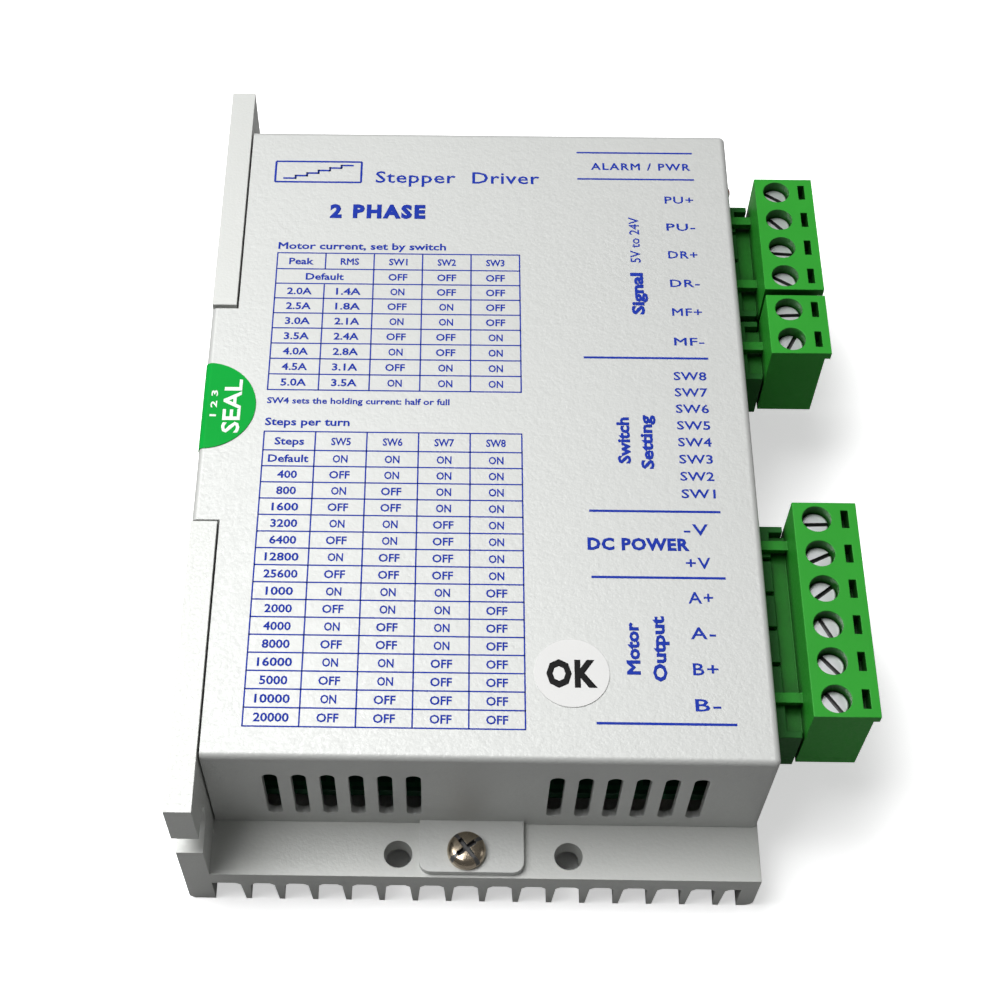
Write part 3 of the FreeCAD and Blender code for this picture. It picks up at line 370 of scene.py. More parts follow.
chip_low, chip_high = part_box("controller_chip")
leg_rows("controller_legs", chip_low, chip_high, count=12, width=0.32 * MM,
         sides=("left", "right", "near", "far"))
opto_low, opto_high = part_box("optocouplers")
opto_length = 4.6 * MM
opto_pitch = (opto_high.y - opto_low.y - opto_length) / 2
for number in range(3):
    near = opto_low.y + number * opto_pitch
    leg_rows(f"opto_{number + 1}_legs", Vector((opto_low.x, near, opto_low.z)),
             Vector((opto_high.x, near + opto_length, opto_high.z)), count=2, width=0.9 * MM,
             sides=("left", "right"))


# -------------------------------------------------------------- switch bank
# A blue moulded bank of eight slide switches, soldered to the edge of the board, with white
# sliders that show through a window in the cover.

dress(finish_material("switch_blue", (0.02, 0.07, 0.36), (0.38, 0.5), mottle=(200.0, 0.08),
                      grain=(4200.0, 1.0), bump=0.04, edge=((0.15, 0.25, 0.6), 0.00015, 0.4)), "switch_bank")
dress(finish_material("slider_white", (0.82, 0.82, 0.80), (0.35, 0.5), mottle=(300.0, 0.05),
                      grain=(5000.0, 1.0), bump=0.04), *[f"switch_slider_{n}" for n in range(1, 9)])


# ---------------------------------------------------------- indicator lamps
# Two round-nosed lamps, green for power and red for alarm, on long legs in clear coloured
# resin. Their noses stand just proud of the cover's side.

def make_lens(name, colour):
    """Tinted clear resin that lets some light through."""
    material = finish_material(name, colour, (0.08, 0.16), mottle=(500.0, 0.1), grain=(1500.0, 1.0),
                               bump=0.01, coat=0.6)
    shader = material.node_tree.nodes["Principled BSDF"]
    shader.inputs["Transmission Weight"].default_value = 0.35
    return material


dress(make_lens("lens_green", (0.06, 0.55, 0.12)), "led_power")
dress(make_lens("lens_red", (0.62, 0.03, 0.02)), "led_alarm")


# ------------------------------------------------------------------- cover
# Folded from 1 mm steel sheet and powder coated light grey with a fine orange-peel texture.
# Two tabs at its ends are screwed to the base plate, and a side tab lies in the wall's notch.

def make_powder_coat():
    """Matte light coat: fine peel over a slower wave, and painted shade along the bends, where they are
    tinted darker.
    """
    material = finish_material("powder_coat", (0.56, 0.57, 0.555), (0.44, 0.56), metallic=0.3,
                               mottle=(35.0, 0.02), grain=(2300.0, 1.0), bump=0.16,
                               edge=((0.36, 0.36, 0.35), 0.0003, 0.35), soften=0.00015, specular=0.4)
    tree = material.node_tree
    shader = tree.nodes["Principled BSDF"]
    peel = shader.inputs["Normal"].links[0].from_node
    place = add(tree, "ShaderNodeTexCoord")
    slow = add(tree, "ShaderNodeTexNoise", [
        ("Vector", place.outputs["Object"]), ("Scale", 700.0), ("Detail", 2.0)])
    waves = add(tree, "ShaderNodeBump", [
        ("Height", slow.outputs["Fac"]), ("Strength", 0.08), ("Distance", 0.0003),
        ("Normal", peel.outputs[0])])
    tree.links.new(waves.outputs[0], shader.inputs["Normal"])
    return material


dress(make_powder_coat(), "cover")
COVER_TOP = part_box("cover")[1].z


# -------------------------------------------------------- printing on cover
# The legends are screen printed in blue ink straight onto the coat: two setting tables on the
# left, and the names of the terminals and switches along the right-hand edge.

INK_THICK = 0.02 * MM


def make_ink(name, colour):
    """Screen ink: dry, almost without shine, and a little uneven."""
    return finish_material(name, colour, (0.55, 0.7), mottle=(500.0, 0.12), grain=(2600.0, 1.0),
                           bump=0.05, soften=0.00002, specular=0.08)


blue_ink = make_ink("blue_ink", (0.012, 0.035, 0.33))


def make_ruled_lines():
    """Equal bars set out in a row, for the lines of a printed table."""
    tree, entry, leave = shape_tree("ruled_lines", {
        "Count": ("NodeSocketInt", 4), "First": ("NodeSocketVector", (0, 0, 0)),
        "Step": ("NodeSocketVector", (0, 0, 0)), "Bar": ("NodeSocketVector", (0.01, 0.0002, 0.00002))})
    row = add(tree, "GeometryNodeMeshLine", [
        ("Count", entry.outputs["Count"]), ("Start Location", entry.outputs["First"]),
        ("Offset", entry.outputs["Step"])], mode="OFFSET")
    bar = add(tree, "GeometryNodeMeshCube", [("Size", entry.outputs["Bar"])])
    bars = add(tree, "GeometryNodeInstanceOnPoints", [
        ("Points", row.outputs["Mesh"]), ("Instance", bar.outputs["Mesh"])])
    end_tree(tree, leave, bars.outputs[0], blue_ink)
    return tree


RULED_LINES = make_ruled_lines()
printed = []


def rule(count, first, step, length, upright=False, weight=0.19):
    """Printed lines, in millimetres: the first one's centre, the step to the next, and their length."""
    size = (weight, length, 1.0) if upright else (length, weight, 1.0)
    bar = (size[0] * MM, size[1] * MM, INK_THICK)
    printed.append(run_tree(
        RULED_LINES, f"lines_{len(printed)}", blue_ink, Count=count, Bar=bar,
        First=(first[0] * MM, first[1] * MM, COVER_TOP + INK_THICK / 2),
        Step=(step[0] * MM, step[1] * MM, 0.0)))


# Both are in units of the font's own size, before the lettering is scaled.
WELD_LETTERS = 1e-5
FONT_CAPITAL = 0.73


def letter_mesh(words, width, cap, thick, bold=0.0, spacing=1.0):
    """Raised lettering centred on the origin, made to a width and a capital height."""
    curve = bpy.data.curves.new("letters", "FONT")
    curve.body = words
    curve.size = 1.0
    curve.space_character = spacing
    curve.bevel_depth = bold
    curve.bevel_resolution = 0
    curve.resolution_u = 2
    curve.extrude = 0.5
    holder = bpy.data.objects.new("letters", curve)
    bpy.context.scene.collection.objects.link(holder)
    piece = plain_mesh(holder, "letters")
    glyphs = bmesh.new()
    glyphs.from_mesh(piece.data)
    bmesh.ops.remove_doubles(glyphs, verts=glyphs.verts, dist=WELD_LETTERS)
    bmesh.ops.recalc_face_normals(glyphs, faces=glyphs.faces)
    glyphs.to_mesh(piece.data)
    glyphs.free()
    xs = [v.co.x for v in piece.data.vertices]
    capital = FONT_CAPITAL + 2 * bold
    middle = (min(xs) + max(xs)) / 2
    piece.data.transform(Matrix.Translation((-middle, -capital / 2 + bold, 0)))
    stretch = width / (max(xs) - min(xs))
    piece.data.transform(Matrix.Diagonal((stretch, cap / capital, thick / (1 + 2 * bold), 1.0)))
    return piece


def legend(words, at, width, cap, bold=0.0, spacing=1.0, turn=0.0, level=None, material=None,
           into=None):
    """Ink lettering on the cover: its centre, width and capital height in millimetres."""
    piece = letter_mesh(words, width * MM, cap * MM, INK_THICK, bold, spacing)
    height = (COVER_TOP if level is None else level) + INK_THICK / 2
    spun = Matrix.Rotation(math.radians(turn), 4, "Z")
    piece.data.transform(Matrix.Translation((at[0] * MM, at[1] * MM, height)) @ spun)
    piece.data.materials.clear()
    piece.data.materials.append(material or blue_ink)
    (printed if into is None else into).append(piece)


def joined(pieces, name, body):
    """Several meshes of one material joined into a piece that rides on a body."""
    whole = bmesh.new()
    for piece in pieces:
        whole.from_mesh(piece.data)
    shape = bpy.data.meshes.new(name)
    whole.to_mesh(shape)
    whole.free()
    for material in pieces[0].data.materials:
        shape.materials.append(material)
    for piece in pieces:
        bpy.data.objects.remove(piece)
    result = bpy.data.objects.new(name, shape)
    bpy.context.scene.collection.objects.link(result)
    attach(result, body)
    return result


TABLE_LEFT = -29.3
COLUMN = 6.78
COLUMN_CENTRES = [TABLE_LEFT + COLUMN * (column + 0.5) for column in range(5)]
WORD_WIDTHS = {"OFF": 2.65, "ON": 1.95, "Steps": 3.9, "Default": 5.3}
WIDTH_PER_LETTER = 0.86
TABLE_CAPITAL = 1.25
CORNER_OVERLAP = 0.16


def table(top, header, row, rows, merged_row=None):
    """A five-column table: its top edge, header height, row height and the words of every row."""
    bottom = top - header - row * (len(rows) - 1)
    width = 5 * COLUMN
    middle = TABLE_LEFT + width / 2
    rule(1, (middle, top), (0, 0), width + CORNER_OVERLAP)
    rule(len(rows), (middle, top - header), (0, -row), width + CORNER_OVERLAP)
    rule(4, (TABLE_LEFT + 2 * COLUMN, (top + bottom) / 2), (COLUMN, 0), top - bottom, upright=True)
    rule(1, (TABLE_LEFT, (top + bottom) / 2), (0, 0), top - bottom, upright=True)
    spans = [(top, bottom)]
    if merged_row is not None:
        gap_top = top - header - row * (merged_row - 1)
        spans = [(top, gap_top), (gap_top - row, bottom)]
    for high, low in spans:
        rule(1, (TABLE_LEFT + COLUMN, (high + low) / 2), (0, 0), high - low, upright=True)
    for number, words in enumerate(rows):
        level = top - header / 2 if number == 0 else top - header - row * (number - 0.5)
        places = COLUMN_CENTRES
        if number == merged_row:
            places = [TABLE_LEFT + COLUMN] + COLUMN_CENTRES[2:]
        for word, across in zip(words, places):
            word_width = WORD_WIDTHS.get(word, WIDTH_PER_LETTER * len(word))
            legend(word, (across, level), word_width, TABLE_CAPITAL, bold=0.024)


def on_off(number, places):
    """Switch words for a binary count, first switch changing fastest."""
    return ["ON" if number >> place & 1 else "OFF" for place in range(places)]


RMS_PER_PEAK = 0.7
currents = [("Peak", "RMS", "SW1", "SW2", "SW3"), ("Default", "OFF", "OFF", "OFF")]
for number in range(1, 8):
    peak = 1.5 + 0.5 * number
    currents.append((f"{peak:.1f}A", f"{peak * RMS_PER_PEAK:.1f}A", *on_off(number, 3)))
table(26.9, 2.85, 2.58, currents, merged_row=1)
steps = [("Steps", "SW5", "SW6", "SW7", "SW8"), ("Default", "ON", "ON", "ON", "ON")]
counts = [400 * 2 ** doubling for doubling in range(7)]
counts += [1000 * 2 ** doubling for doubling in range(5)] + [5000, 10000, 20000]
for number, count in enumerate(counts, start=1):
    steps.append((str(count), *on_off(15 - number, 4)))
table(-3.3, 2.95, 2.47, steps)

legend("Stepper  Driver", (-4.2, 41.2), 23.6, 2.3, bold=0.01, spacing=1.05)
legend("2 PHASE", (-15.5, 34.7), 13.6, 2.75, bold=0.06, spacing=1.25)
legend("Motor current, set by switch", (-17.5, 28.25), 23.6, 1.3, bold=0.024)
legend("SW4 sets the holding current: half or full", (-17.1, 1.7), 24.3, 1.05, bold=0.025)
legend("Steps per turn", (-23.7, -1.7), 11.2, 1.3, bold=0.024)

# The names along the terminal side, between ruled lines; every place is in millimetres.
NAMES_MIDDLE = 21.5
NAMES_WIDTH = 16.8
for level, weight in ((46.2, 0.28), (41.15, 0.28), (9.3, 0.34), (-15.0, 0.34), (-24.73, 0.34), (-44.8, 0.34)):
    rule(1, (NAMES_MIDDLE, level), (0, 0), NAMES_WIDTH, weight=weight)
legend("ALARM / PWR", (22.3, 43.6), 14.4, 1.4, bold=0.024, spacing=1.2)
for word, level in (("PU+", 37.35), ("PU-", 32.33), ("DR+", 27.3), ("DR-", 22.22),
                    ("MF+", 17.2), ("MF-", 12.16)):
    legend(word, (27.5, level), 4.1, 1.4, bold=0.016, spacing=1.1)
for number in range(8):
    legend(f"SW{8 - number}", (27.27, 6.4 - 2.66 * number), 4.4, 1.45, bold=0.016, spacing=1.05)
for word, level in (("-V", -17.62), ("+V", -22.54), ("A+", -27.49), ("A-", -32.47),
                    ("B+", -37.4), ("B-", -42.22)):
    legend(word, (26.6, level), 3.1, 1.75, bold=0.014, spacing=1.15)
legend("DC POWER", (19.2, -19.85), 12.9, 1.95, bold=0.045, spacing=1.1)
legend("Signal", (20.8, 20.3), 7.3, 1.9, bold=0.045, turn=90)
legend("5V to 24V", (20.8, 29.9), 8.2, 1.5, bold=0.012, turn=90)
legend("Switch", (17.9, -4.1), 7.3, 1.8, bold=0.04, turn=90)
legend("Setting", (20.9, -4.3), 8.5, 1.8, bold=0.04, turn=90)
legend("Motor", (17.8, -34.7), 7.2, 1.8, bold=0.04, turn=90)
legend("Output", (21.0, -34.7), 9.0, 1.8, bold=0.04, turn=90)


# A plain framed stair-step sign stands in the corner: the way the motor's current climbs.
rule(2, (-24.3, 40.05), (0, 3.9), 12.4, weight=0.3)
rule(2, (-30.5, 42.0), (12.4, 0), 3.9, upright=True, weight=0.3)
for number in range(6):
    rule(1, (-28.4 + 1.64 * number, 40.75 + 0.5 * number), (0, 0), 1.9, weight=0.3)
    if number:
        rule(1, (-29.22 + 1.64 * number, 40.5 + 0.5 * number), (0, 0), 0.8, upright=True, weight=0.3)
joined(printed, "cover_printing", "drive")


# ------------------------------------------------------------------ labels
# A round white sticker near the corner, and a green paper seal folded over the side tab so
# that the cover can't be opened unseen.

black_ink = make_ink("black_ink", (0.012, 0.012, 0.012))
white_ink = make_ink("white_ink", (0.85, 0.87, 0.85))
dress(finish_material("green_paper", (0.003, 0.34, 0.04), (0.36, 0.48), mottle=(150.0, 0.08),
                      grain=(1800.0, 1.0), bump=0.05, specular=0.05,
                      edge=((0.3, 0.7, 0.35), 0.0001, 0.4)), "seal_label")
dress(finish_material("white_paper", (0.66, 0.66, 0.65), (0.3, 0.42), mottle=(150.0, 0.02),
                      grain=(1800.0, 1.0), bump=0.04), "round_label")
sticker_low, sticker_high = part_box("round_label")
sticker_at = ((sticker_low.x + sticker_high.x) / 2 / MM, (sticker_low.y + sticker_high.y) / 2 / MM)
sticker_print = []
legend("OK", sticker_at, 6.2, 4.0, bold=0.05, spacing=1.15, level=sticker_high.z,
       material=black_ink, into=sticker_print)
joined(sticker_print, "sticker_printing", "drive")
SEAL_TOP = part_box("seal_label")[1].z
seal_print = []
legend("SEAL", (-33.9, 0.6), 8.6, 2.5, bold=0.02, turn=90, level=SEAL_TOP, material=white_ink,
       into=seal_print)
legend("1 2 3", (-36.3, 1.0), 4.2, 0.9, bold=0.02, turn=90, level=SEAL_TOP, material=white_ink,
       into=seal_print)
joined(seal_print, "seal_printing", "drive")


# ------------------------------------------------------------ cover screws
# Pan-head machine screws with a cross recess, nickel plated, through the cover's end tabs. A
# countersunk one holds the side tab under the seal.

nickel = finish_material("dark_nickel", (0.44, 0.37, 0.28), (0.14, 0.28), metallic=1.0, mottle=(400.0, 0.15),
                         grain=(3000.0, 1.0), bump=0.015, soften=0.00004)
dress(nickel, "cover_side_screw")


def lathe(name, profile, segments=48):
    """A closed turned shape from (radius, height) pairs that run from the lower axis to the upper."""
    shape = bmesh.new()
    rings = []
    for radius, height in profile:
        if radius == 0:
            rings.append([shape.verts.new((0, 0, height))])
            continue
        ring = []
        for number in range(segments):
            angle = 2 * math.pi * number / segments
            ring.append(shape.verts.new((radius * math.cos(angle), radius * math.sin(angle), height)))
        rings.append(ring)
    for lower, upper in zip(rings, rings[1:]):
        for number in range(segments):
            after = (number + 1) % segments
            corners = [lower[number % len(lower)], lower[after % len(lower)],
                       upper[after % len(upper)], upper[number % len(upper)]]
            shape.faces.new(list(dict.fromkeys(corners)))
    mesh = bpy.data.meshes.new(name)
    shape.to_mesh(mesh)
    shape.free()
    return mesh


THREAD_DEPTH = 0.61
THREAD_BLUNTED = 0.8


def threaded(radius, low, high, pitch):
    """The outline of a screw's shank: a blunt tip and a ridge for every turn of the thread."""
    root = radius - THREAD_DEPTH * pitch * THREAD_BLUNTED
    profile = [(0, low), (root * 0.8, low)]
    turns = int((high - low) / pitch) - 1
    for number in range(turns):
        base = low + 0.3 * pitch + number * pitch
        profile += [(root, base), (radius, base + 0.4 * pitch), (radius, base + 0.55 * pitch)]
    profile.append((root, low + 0.3 * pitch + turns * pitch))
    return profile


def make_recess_cut():
    """Cuts a cross or a single slot into the top of a turned head, and sets it in place."""
    tree, entry, leave = shape_tree("recess_cut", {
        "Top": ("NodeSocketFloat", 1.0 * MM), "Depth": ("NodeSocketFloat", 0.7 * MM),
        "Width": ("NodeSocketFloat", 0.6 * MM), "Length": ("NodeSocketFloat", 3.0 * MM),
        "Second": ("NodeSocketFloat", 3.0 * MM), "Turn": ("NodeSocketFloat", 0.0),
        "Centre": ("NodeSocketVector", (0, 0, 0))})
    tall = add(tree, "ShaderNodeMath", [(0, entry.outputs["Depth"]), (1, 2.0)], operation="MULTIPLY")
    cuts = []
    for across, along in (("Length", "Width"), ("Width", "Second")):
        size = add(tree, "ShaderNodeCombineXYZ", [
            ("X", entry.outputs[across]), ("Y", entry.outputs[along]), ("Z", tall.outputs[0])])
        block = add(tree, "GeometryNodeMeshCube", [("Size", size.outputs[0])])
        lift = add(tree, "ShaderNodeCombineXYZ", [("X", 0.0), ("Y", 0.0), ("Z", entry.outputs["Top"])])
        cuts.append(add(tree, "GeometryNodeTransform", [
            ("Geometry", block.outputs["Mesh"]), ("Translation", lift.outputs[0])]))
    shape = entry.outputs["Geometry"]
    for cut in cuts:
        carve = add(tree, "GeometryNodeMeshBoolean", [("Mesh 1", shape), ("Mesh 2", cut.outputs[0])],
                    operation="DIFFERENCE", solver="EXACT")
        shape = carve.outputs["Mesh"]
    heading = add(tree, "ShaderNodeCombineXYZ", [("X", 0.0), ("Y", 0.0), ("Z", entry.outputs["Turn"])])
    placed = add(tree, "GeometryNodeTransform", [
        ("Geometry", shape), ("Translation", entry.outputs["Centre"]), ("Rotation", heading.outputs[0])])
    end_tree(tree, leave, placed.outputs[0], nickel)
    return tree


RECESS_CUT = make_recess_cut()


LEVEL_FACE = 0.98
CRISP_ANGLE = 32


def smooth_turned(piece):
    """Smooth shading on the turned faces, with the level ones and the cuts left crisp."""
    for face in piece.data.polygons:
        face.use_smooth = abs(face.normal.z) < LEVEL_FACE
    piece.data.set_sharp_from_angle(angle=math.radians(CRISP_ANGLE))


def darken_recess(piece, centre, turn, top, depth, width, arms, material):
    """Paints shade into a recess: its walls and floor take their own dark metal."""
    piece.data.materials.append(material)
    back = Matrix.Rotation(-turn, 3, "Z")
    slack = 0.01 * MM
    for face in piece.data.polygons:
        spot = back @ (face.center - Vector(centre))
        inside = abs(spot.y) < width / 2 + slack or (arms == 2 and abs(spot.x) < width / 2 + slack)
        if inside and top - depth - slack < spot.z < top - 2 * slack:
            face.material_index = 1


# A dark metal for the walls and floors of the slots and crosses: painted shade.
recess_painted_shade = finish_material("recess_oil_film", (0.10, 0.10, 0.10), (0.35, 0.5), metallic=0.7,
                              mottle=(900.0, 0.3), grain=(3000.0, 1.0), bump=0.02, soften=0.00001)
screws_low, screws_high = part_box("cover_end_screws")
head_radius = (screws_high.x - screws_low.x) / 2
PAN_HEIGHT = 1.6 * MM
PAN_RIM = 0.62 * MM
PAN_EDGE = 0.12 * MM
PAN_CROWN_RUN = 0.9 * MM
CROSS_DEPTH = 0.95 * MM
CROSS_WIDTH = 0.62 * MM
CROSS_LENGTH = 2.9 * MM
SEATED_UNDER = 0.05 * MM
shank_length = screws_high.z - screws_low.z - PAN_HEIGHT
pan_profile = threaded(1.25 * MM, -shank_length, -SEATED_UNDER, 0.5 * MM) + [
    (1.0 * MM, 0.0), (head_radius - PAN_EDGE, 0.0), (head_radius, PAN_EDGE), (head_radius, PAN_RIM)]
crown = PAN_HEIGHT - PAN_RIM
for step in range(1, 7):
    angle = math.radians(step * 13)
    pan_profile.append((head_radius - PAN_CROWN_RUN * (1 - math.cos(angle)) * 1.25,
                        PAN_RIM + crown * math.sin(angle)))
pan_profile.append((0, PAN_HEIGHT))
end_screws = []
for side, turn in ((-1, 38), (1, 12)):
    seat = ((screws_low.x + screws_high.x) / 2, (screws_high.y - head_radius) * side,
            screws_high.z - PAN_HEIGHT)
    end_screws.append(run_tree(
        RECESS_CUT, f"end_screw_{side}", nickel, start=lathe("pan_screw", pan_profile), Top=PAN_HEIGHT,
        Depth=CROSS_DEPTH, Width=CROSS_WIDTH, Length=CROSS_LENGTH, Second=CROSS_LENGTH,
        Turn=math.radians(turn), Centre=seat))
    darken_recess(end_screws[-1], seat, math.radians(turn), PAN_HEIGHT, CROSS_DEPTH, CROSS_WIDTH, 2,
                  recess_painted_shade)
pan_screws = joined(end_screws, "cover_pan_screws", "drive")
smooth_turned(pan_screws)
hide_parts("cover_end_screws")


# ------------------------------------------------- terminal headers, plugs
# Green nylon headers are soldered to the board, and the plugs push onto them. Each pole has a
# round screw well, a slot for a test probe beside it, and a wire entry in the outer face.

def make_gap_dirt():
    """Painted shade: a darkening in wells, slots and narrow gaps, where shade falls."""
    tree, entry, leave = effect_group("gap_dirt", {"Depth": 3.0 * MM, "Darkest": 0.3},
                                      {"Shade": "NodeSocketFloat"})
    # Ambient occlusion darkens the colour where the surface is closed in: painted shade.
    closed_in = add(tree, "ShaderNodeAmbientOcclusion", [("Distance", entry.outputs["Depth"])], samples=6)
    shade = add(tree, "ShaderNodeMapRange", [
        ("Value", closed_in.outputs["AO"]), ("From Min", 0.25), ("From Max", 0.85),
        ("To Min", entry.outputs["Darkest"]), ("To Max", 1.0)])
    tree.links.new(shade.outputs["Result"], leave.inputs["Shade"])
    return tree


GAP_PAINTED_SHADE = make_gap_dirt()


def add_gap_dirt(material, depth, darkest):
    """Paints shade into a finished material's colour wherever the piece is closed in."""
    tree = material.node_tree
    shader = tree.nodes["Principled BSDF"]
    plain = shader.inputs["Base Color"].links[0].from_socket
    gap_shade = place_effect(tree, GAP_PAINTED_SHADE, Depth=depth, Darkest=darkest)
    shaded_tone = add(tree, "ShaderNodeVectorMath", [(0, plain), (1, gap_shade.outputs["Shade"])], operation="MULTIPLY")
    tree.links.new(shaded_tone.outputs[0], shader.inputs["Base Color"])
    return material


def make_terminal_green():
    """Moulded nylon: even colour with a soft sheen, darker flow marks, paler corners as a painted edge
    highlight with some wear, and painted shade in the wells, slots and gaps.
    """
    material = finish_material("terminal_green", (0.026, 0.29, 0.026), (0.34, 0.48), mottle=(140.0, 0.10),
                               grain=(2600.0, 1.0), bump=0.05, edge=((0.08, 0.42, 0.09), 0.0002, 0.5),
                               soften=0.0001, specular=0.2)
    return add_gap_dirt(material, 3.5 * MM, 0.16)


terminal_green = make_terminal_green()
# The headers take a darker copy of the plugs' green: painted shade, for the shadow that falls on them between
# the cover and the plugs.
header_green = finish_material("header_green", (0.010, 0.105, 0.013), (0.36, 0.5), mottle=(140.0, 0.12),
                               grain=(2600.0, 1.0), bump=0.05, edge=((0.04, 0.22, 0.05), 0.0002, 0.5),
                               specular=0.2)


WELD_MOULDING = 0.001 * MM
MOULDED_CORNER = 0.09 * MM


def softened(node, width, name, material):
    """A copy of a moulded CAD node with its sharp edges really rounded."""
    shape = bmesh.new()
    shape.from_mesh(nodes[node].data)
    bmesh.ops.remove_doubles(shape, verts=shape.verts, dist=WELD_MOULDING)
    bmesh.ops.dissolve_limit(shape, angle_limit=math.radians(0.5), verts=shape.verts, edges=shape.edges)
    mesh = bpy.data.meshes.new(name)
    shape.to_mesh(mesh)
    shape.free()
    source = bpy.data.objects.new(name + "_source", mesh)
    bpy.context.scene.collection.objects.link(source)
    bevel = source.modifiers.new("round", "BEVEL")
    bevel.width = width
    bevel.segments = 2
    bevel.limit_method = "ANGLE"
    bevel.angle_limit = math.radians(40)
    bevel.use_clamp_overlap = True
    for face in mesh.polygons:
        face.use_smooth = True
    weighted = source.modifiers.new("shade", "WEIGHTED_NORMAL")
    weighted.keep_sharp = True
    return plain_mesh(source, name, material)


for row in ("signal", "fault", "power"):
    for kind in ("header", "plug"):
        body = "drive" if kind == "header" else f"{row}_plug"
        piece = softened(f"{row}_{kind}", MOULDED_CORNER, f"{row}_{kind}_moulding",
                         header_green if kind == "header" else terminal_green)
        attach(piece, body)
        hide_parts(f"{row}_{kind}")
    dress(tin, f"{row}_contacts")


# --------------------------------------------- terminal screws and clamps
# Zinc-plated slotted screws, each left at its own angle, turn in the wells and draw up a
# square steel cage that grips the wire.

SLOT_ANGLES = {
    "signal": (-35, -48, -4, -32),
    "fault": (3, 62),
    "power": (2, 26, 38, -64, -50, -56),
}
SCREW_HEAD = 1.28 * MM
SCREW_CHAMFER = 0.16 * MM
SCREW_DISH = 0.02 * MM
SLOT_DEPTH = 0.7 * MM
SLOT_WIDTH = 0.55 * MM
screw_metal = finish_material("screw_zinc", (0.80, 0.82, 0.83), (0.34, 0.38), metallic=0.85,
                              mottle=(250.0, 0.04), grain=(1600.0, 1.0), bump=0.002, soften=0.00001)
cage_metal = finish_material("cage_zinc", (0.60, 0.60, 0.57), (0.28, 0.42), metallic=1.0,
                             mottle=(400.0, 0.14), grain=(4200.0, 1.0), bump=0.05)
for row, angles in SLOT_ANGLES.items():
    for number, angle in enumerate(angles, start=1):
        node = f"{row}_screw_{number}"
        low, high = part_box(node)
        radius = (high.x - low.x) / 2
        profile = threaded(1.15 * MM, low.z - high.z + SCREW_HEAD, -SEATED_UNDER, 0.5 * MM) + [
            (0.95 * MM, 0.0), (radius - 0.1 * MM, 0.0), (radius, 0.1 * MM),
            (radius, SCREW_HEAD - SCREW_CHAMFER), (radius - SCREW_CHAMFER, SCREW_HEAD - SCREW_DISH),
            (radius * 0.55, SCREW_HEAD), (0, SCREW_HEAD)]
        seat = ((low.x + high.x) / 2, (low.y + high.y) / 2, high.z - SCREW_HEAD)
        screw = run_tree(
            RECESS_CUT, f"{node}_turned", screw_metal, start=lathe(node, profile, 40), Top=SCREW_HEAD,
            Depth=SLOT_DEPTH, Width=SLOT_WIDTH, Length=2 * radius + 1 * MM, Second=0.3 * MM,
            Turn=math.radians(angle), Centre=seat)
        darken_recess(screw, seat, math.radians(angle), SCREW_HEAD, SLOT_DEPTH, SLOT_WIDTH, 1,
                      recess_painted_shade)
        smooth_turned(screw)
        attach(screw, node)
        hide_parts(node)
        dress(cage_metal, f"{row}_clamp_{number}")


# ---------------------------------------------------- floor, light, camera
# A plain pale floor that curves up behind, soft light from large panels, and a camera above
# the near end.

FLOOR_BOUNCE = (0.28, 0.28, 0.28)
FLOOR_GLOW = 0.5
SHADE_FROM = -4.5 * MM
SHADE_TO = -2.0 * MM
SWEEP_OUTLINE = ((-1.6, 0), (1.0, 0), (1.25, 0.04), (1.45, 0.16), (1.58, 0.36), (1.62, 0.6), (1.62, 1.8))


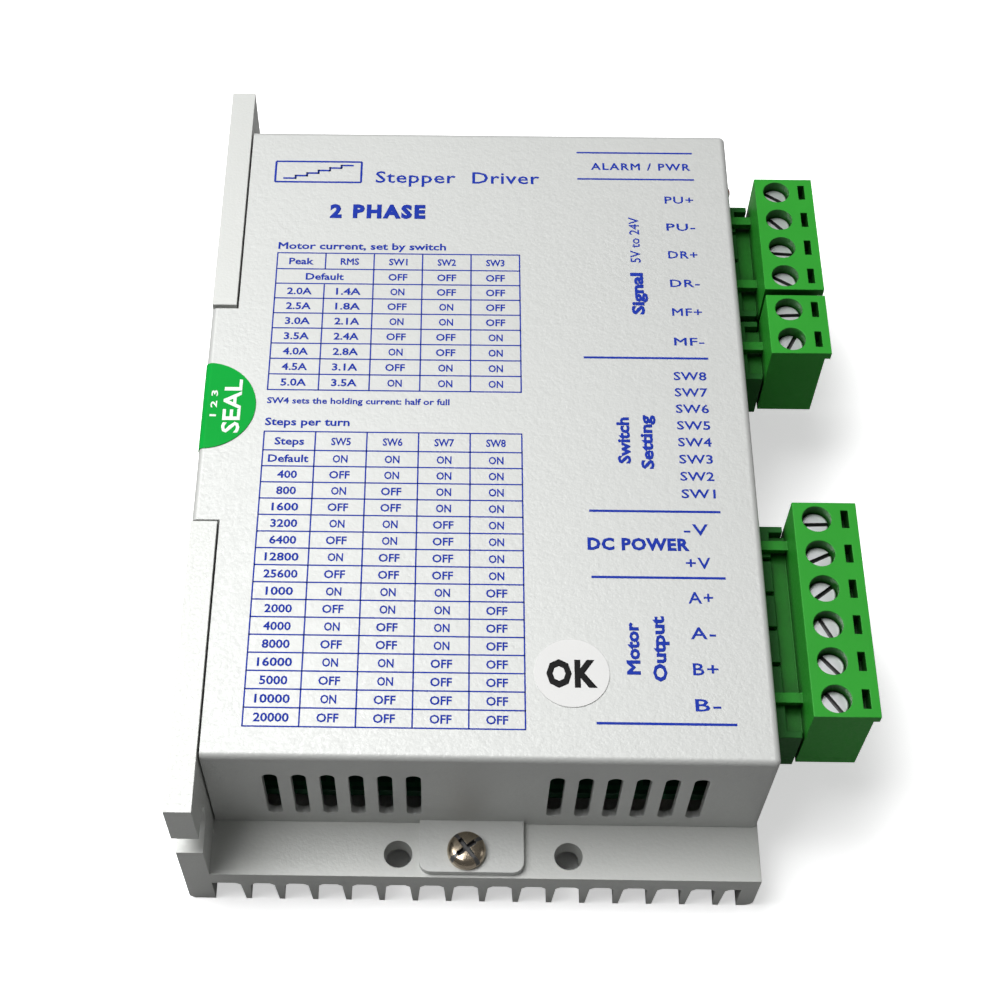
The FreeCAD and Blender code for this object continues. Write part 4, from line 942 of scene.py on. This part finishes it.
def make_floor():
    """A pale paper sweep that looks evenly bright, and throws only a little light back up; over the heat
    sink's footprint its glow fades into a painted shadow.
    """
    material = finish_material("pale_floor", (0.93, 0.93, 0.93), (0.75, 0.9), mottle=(4.0, 0.004),
                               grain=(400.0, 1.0), bump=0.0, soften=0.0)
    tree = material.node_tree
    shader = tree.nodes["Principled BSDF"]
    seen = add(tree, "ShaderNodeLightPath")
    paper = shader.inputs["Base Color"].links[0].from_socket
    bounce = add(tree, "ShaderNodeMix", [("Factor", seen.outputs["Is Camera Ray"])], data_type="RGBA")
    bounce.inputs[6].default_value = (*FLOOR_BOUNCE, 1.0)
    tree.links.new(paper, bounce.inputs[7])
    tree.links.new(bounce.outputs[2], shader.inputs["Base Color"])
    shader.inputs["Emission Color"].default_value = (1.0, 1.0, 1.0, 1.0)
    place = add(tree, "ShaderNodeTexCoord")
    spot = add(tree, "ShaderNodeSeparateXYZ", [("Vector", place.outputs["Object"])])
    low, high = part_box("heat_sink")
    reaches = []
    for axis in range(2):
        from_middle = add(tree, "ShaderNodeMath", [
            (0, spot.outputs[axis]), (1, (low[axis] + high[axis]) / 2)], operation="SUBTRACT")
        size = add(tree, "ShaderNodeMath", [(0, from_middle.outputs[0])], operation="ABSOLUTE")
        reaches.append(add(tree, "ShaderNodeMath", [
            (0, size.outputs[0]), (1, (high[axis] - low[axis]) / 2)], operation="SUBTRACT"))
    outside = add(tree, "ShaderNodeMath", [(0, reaches[0].outputs[0]), (1, reaches[1].outputs[0])],
                  operation="MAXIMUM")
    # The glow fades out over the heat sink's footprint and just around it: a painted shadow under the object.
    clear_of_painted_shadow = add(tree, "ShaderNodeMapRange", [
        ("Value", outside.outputs[0]), ("From Min", SHADE_FROM), ("From Max", SHADE_TO)])
    lit = add(tree, "ShaderNodeMath", [(0, clear_of_painted_shadow.outputs["Result"]), (1, FLOOR_GLOW)],
              operation="MULTIPLY")
    glow = add(tree, "ShaderNodeMath", [(0, seen.outputs["Is Camera Ray"]), (1, lit.outputs[0])],
               operation="MULTIPLY")
    tree.links.new(glow.outputs[0], shader.inputs["Emission Strength"])
    sweep = bmesh.new()
    rows = []
    for y, z in SWEEP_OUTLINE:
        rows.append([sweep.verts.new((x, y, z)) for x in (-2.0, 2.0)])
    for lower, upper in zip(rows, rows[1:]):
        sweep.faces.new((lower[0], lower[1], upper[1], upper[0]))
    mesh = bpy.data.meshes.new("floor")
    sweep.to_mesh(mesh)
    sweep.free()
    mesh.materials.append(material)
    floor = bpy.data.objects.new("floor", mesh)
    bpy.context.scene.collection.objects.link(floor)


make_floor()


def panel(name, place, aim, size, power):
    """A soft rectangular light that faces a point."""
    lamp = bpy.data.lights.new(name, "AREA")
    lamp.shape = "RECTANGLE"
    lamp.size, lamp.size_y = size
    lamp.energy = power
    holder = bpy.data.objects.new(name, lamp)
    bpy.context.scene.collection.objects.link(holder)
    holder.location = place
    holder.rotation_euler = (Vector(aim) - Vector(place)).to_track_quat("-Z", "Y").to_euler()


panel("overhead", place=(-0.36, 0.15, 0.90), aim=(0, 0, 0), size=(0.8, 0.6), power=12.5)
panel("right_side", place=(0.75, 0.05, 0.30), aim=(0, 0, 0.01), size=(0.4, 0.4), power=0.4)
panel("left_side", place=(-0.75, 0.05, 0.40), aim=(0, 0, 0.01), size=(0.5, 0.5), power=0.8)
STUDIO_FILL = 0.15
world = bpy.data.worlds.new("studio")
world.use_nodes = True
world.node_tree.nodes["Background"].inputs["Color"].default_value = (1.0, 1.0, 1.0, 1.0)
world.node_tree.nodes["Background"].inputs["Strength"].default_value = STUDIO_FILL
bpy.context.scene.world = world
bpy.context.scene.view_settings.view_transform = "Standard"

CAMERA_PLACE = (-0.0048, -0.13817, 0.22903)
CAMERA_HEADING = -1.154
CAMERA_PITCH = 58.161
CAMERA_ROLL = -0.303
LENS_PER_FRAME = 1.83506
LENS_SHIFT = 0.07
SENSOR_WIDTH = 36.0
camera = bpy.data.cameras.new("camera")
camera.sensor_width = SENSOR_WIDTH
camera.lens = SENSOR_WIDTH * LENS_PER_FRAME
camera.shift_x = LENS_SHIFT
camera.clip_start = 0.01
viewer = bpy.data.objects.new("camera", camera)
bpy.context.scene.collection.objects.link(viewer)
viewer.location = CAMERA_PLACE
turn_down = Euler((math.radians(90 - CAMERA_PITCH), 0, math.radians(-CAMERA_HEADING)), "XYZ")
rolled = Matrix.Rotation(math.radians(CAMERA_ROLL), 3, "Z")
viewer.rotation_euler = (turn_down.to_matrix() @ rolled).to_euler()
bpy.context.scene.camera = viewer
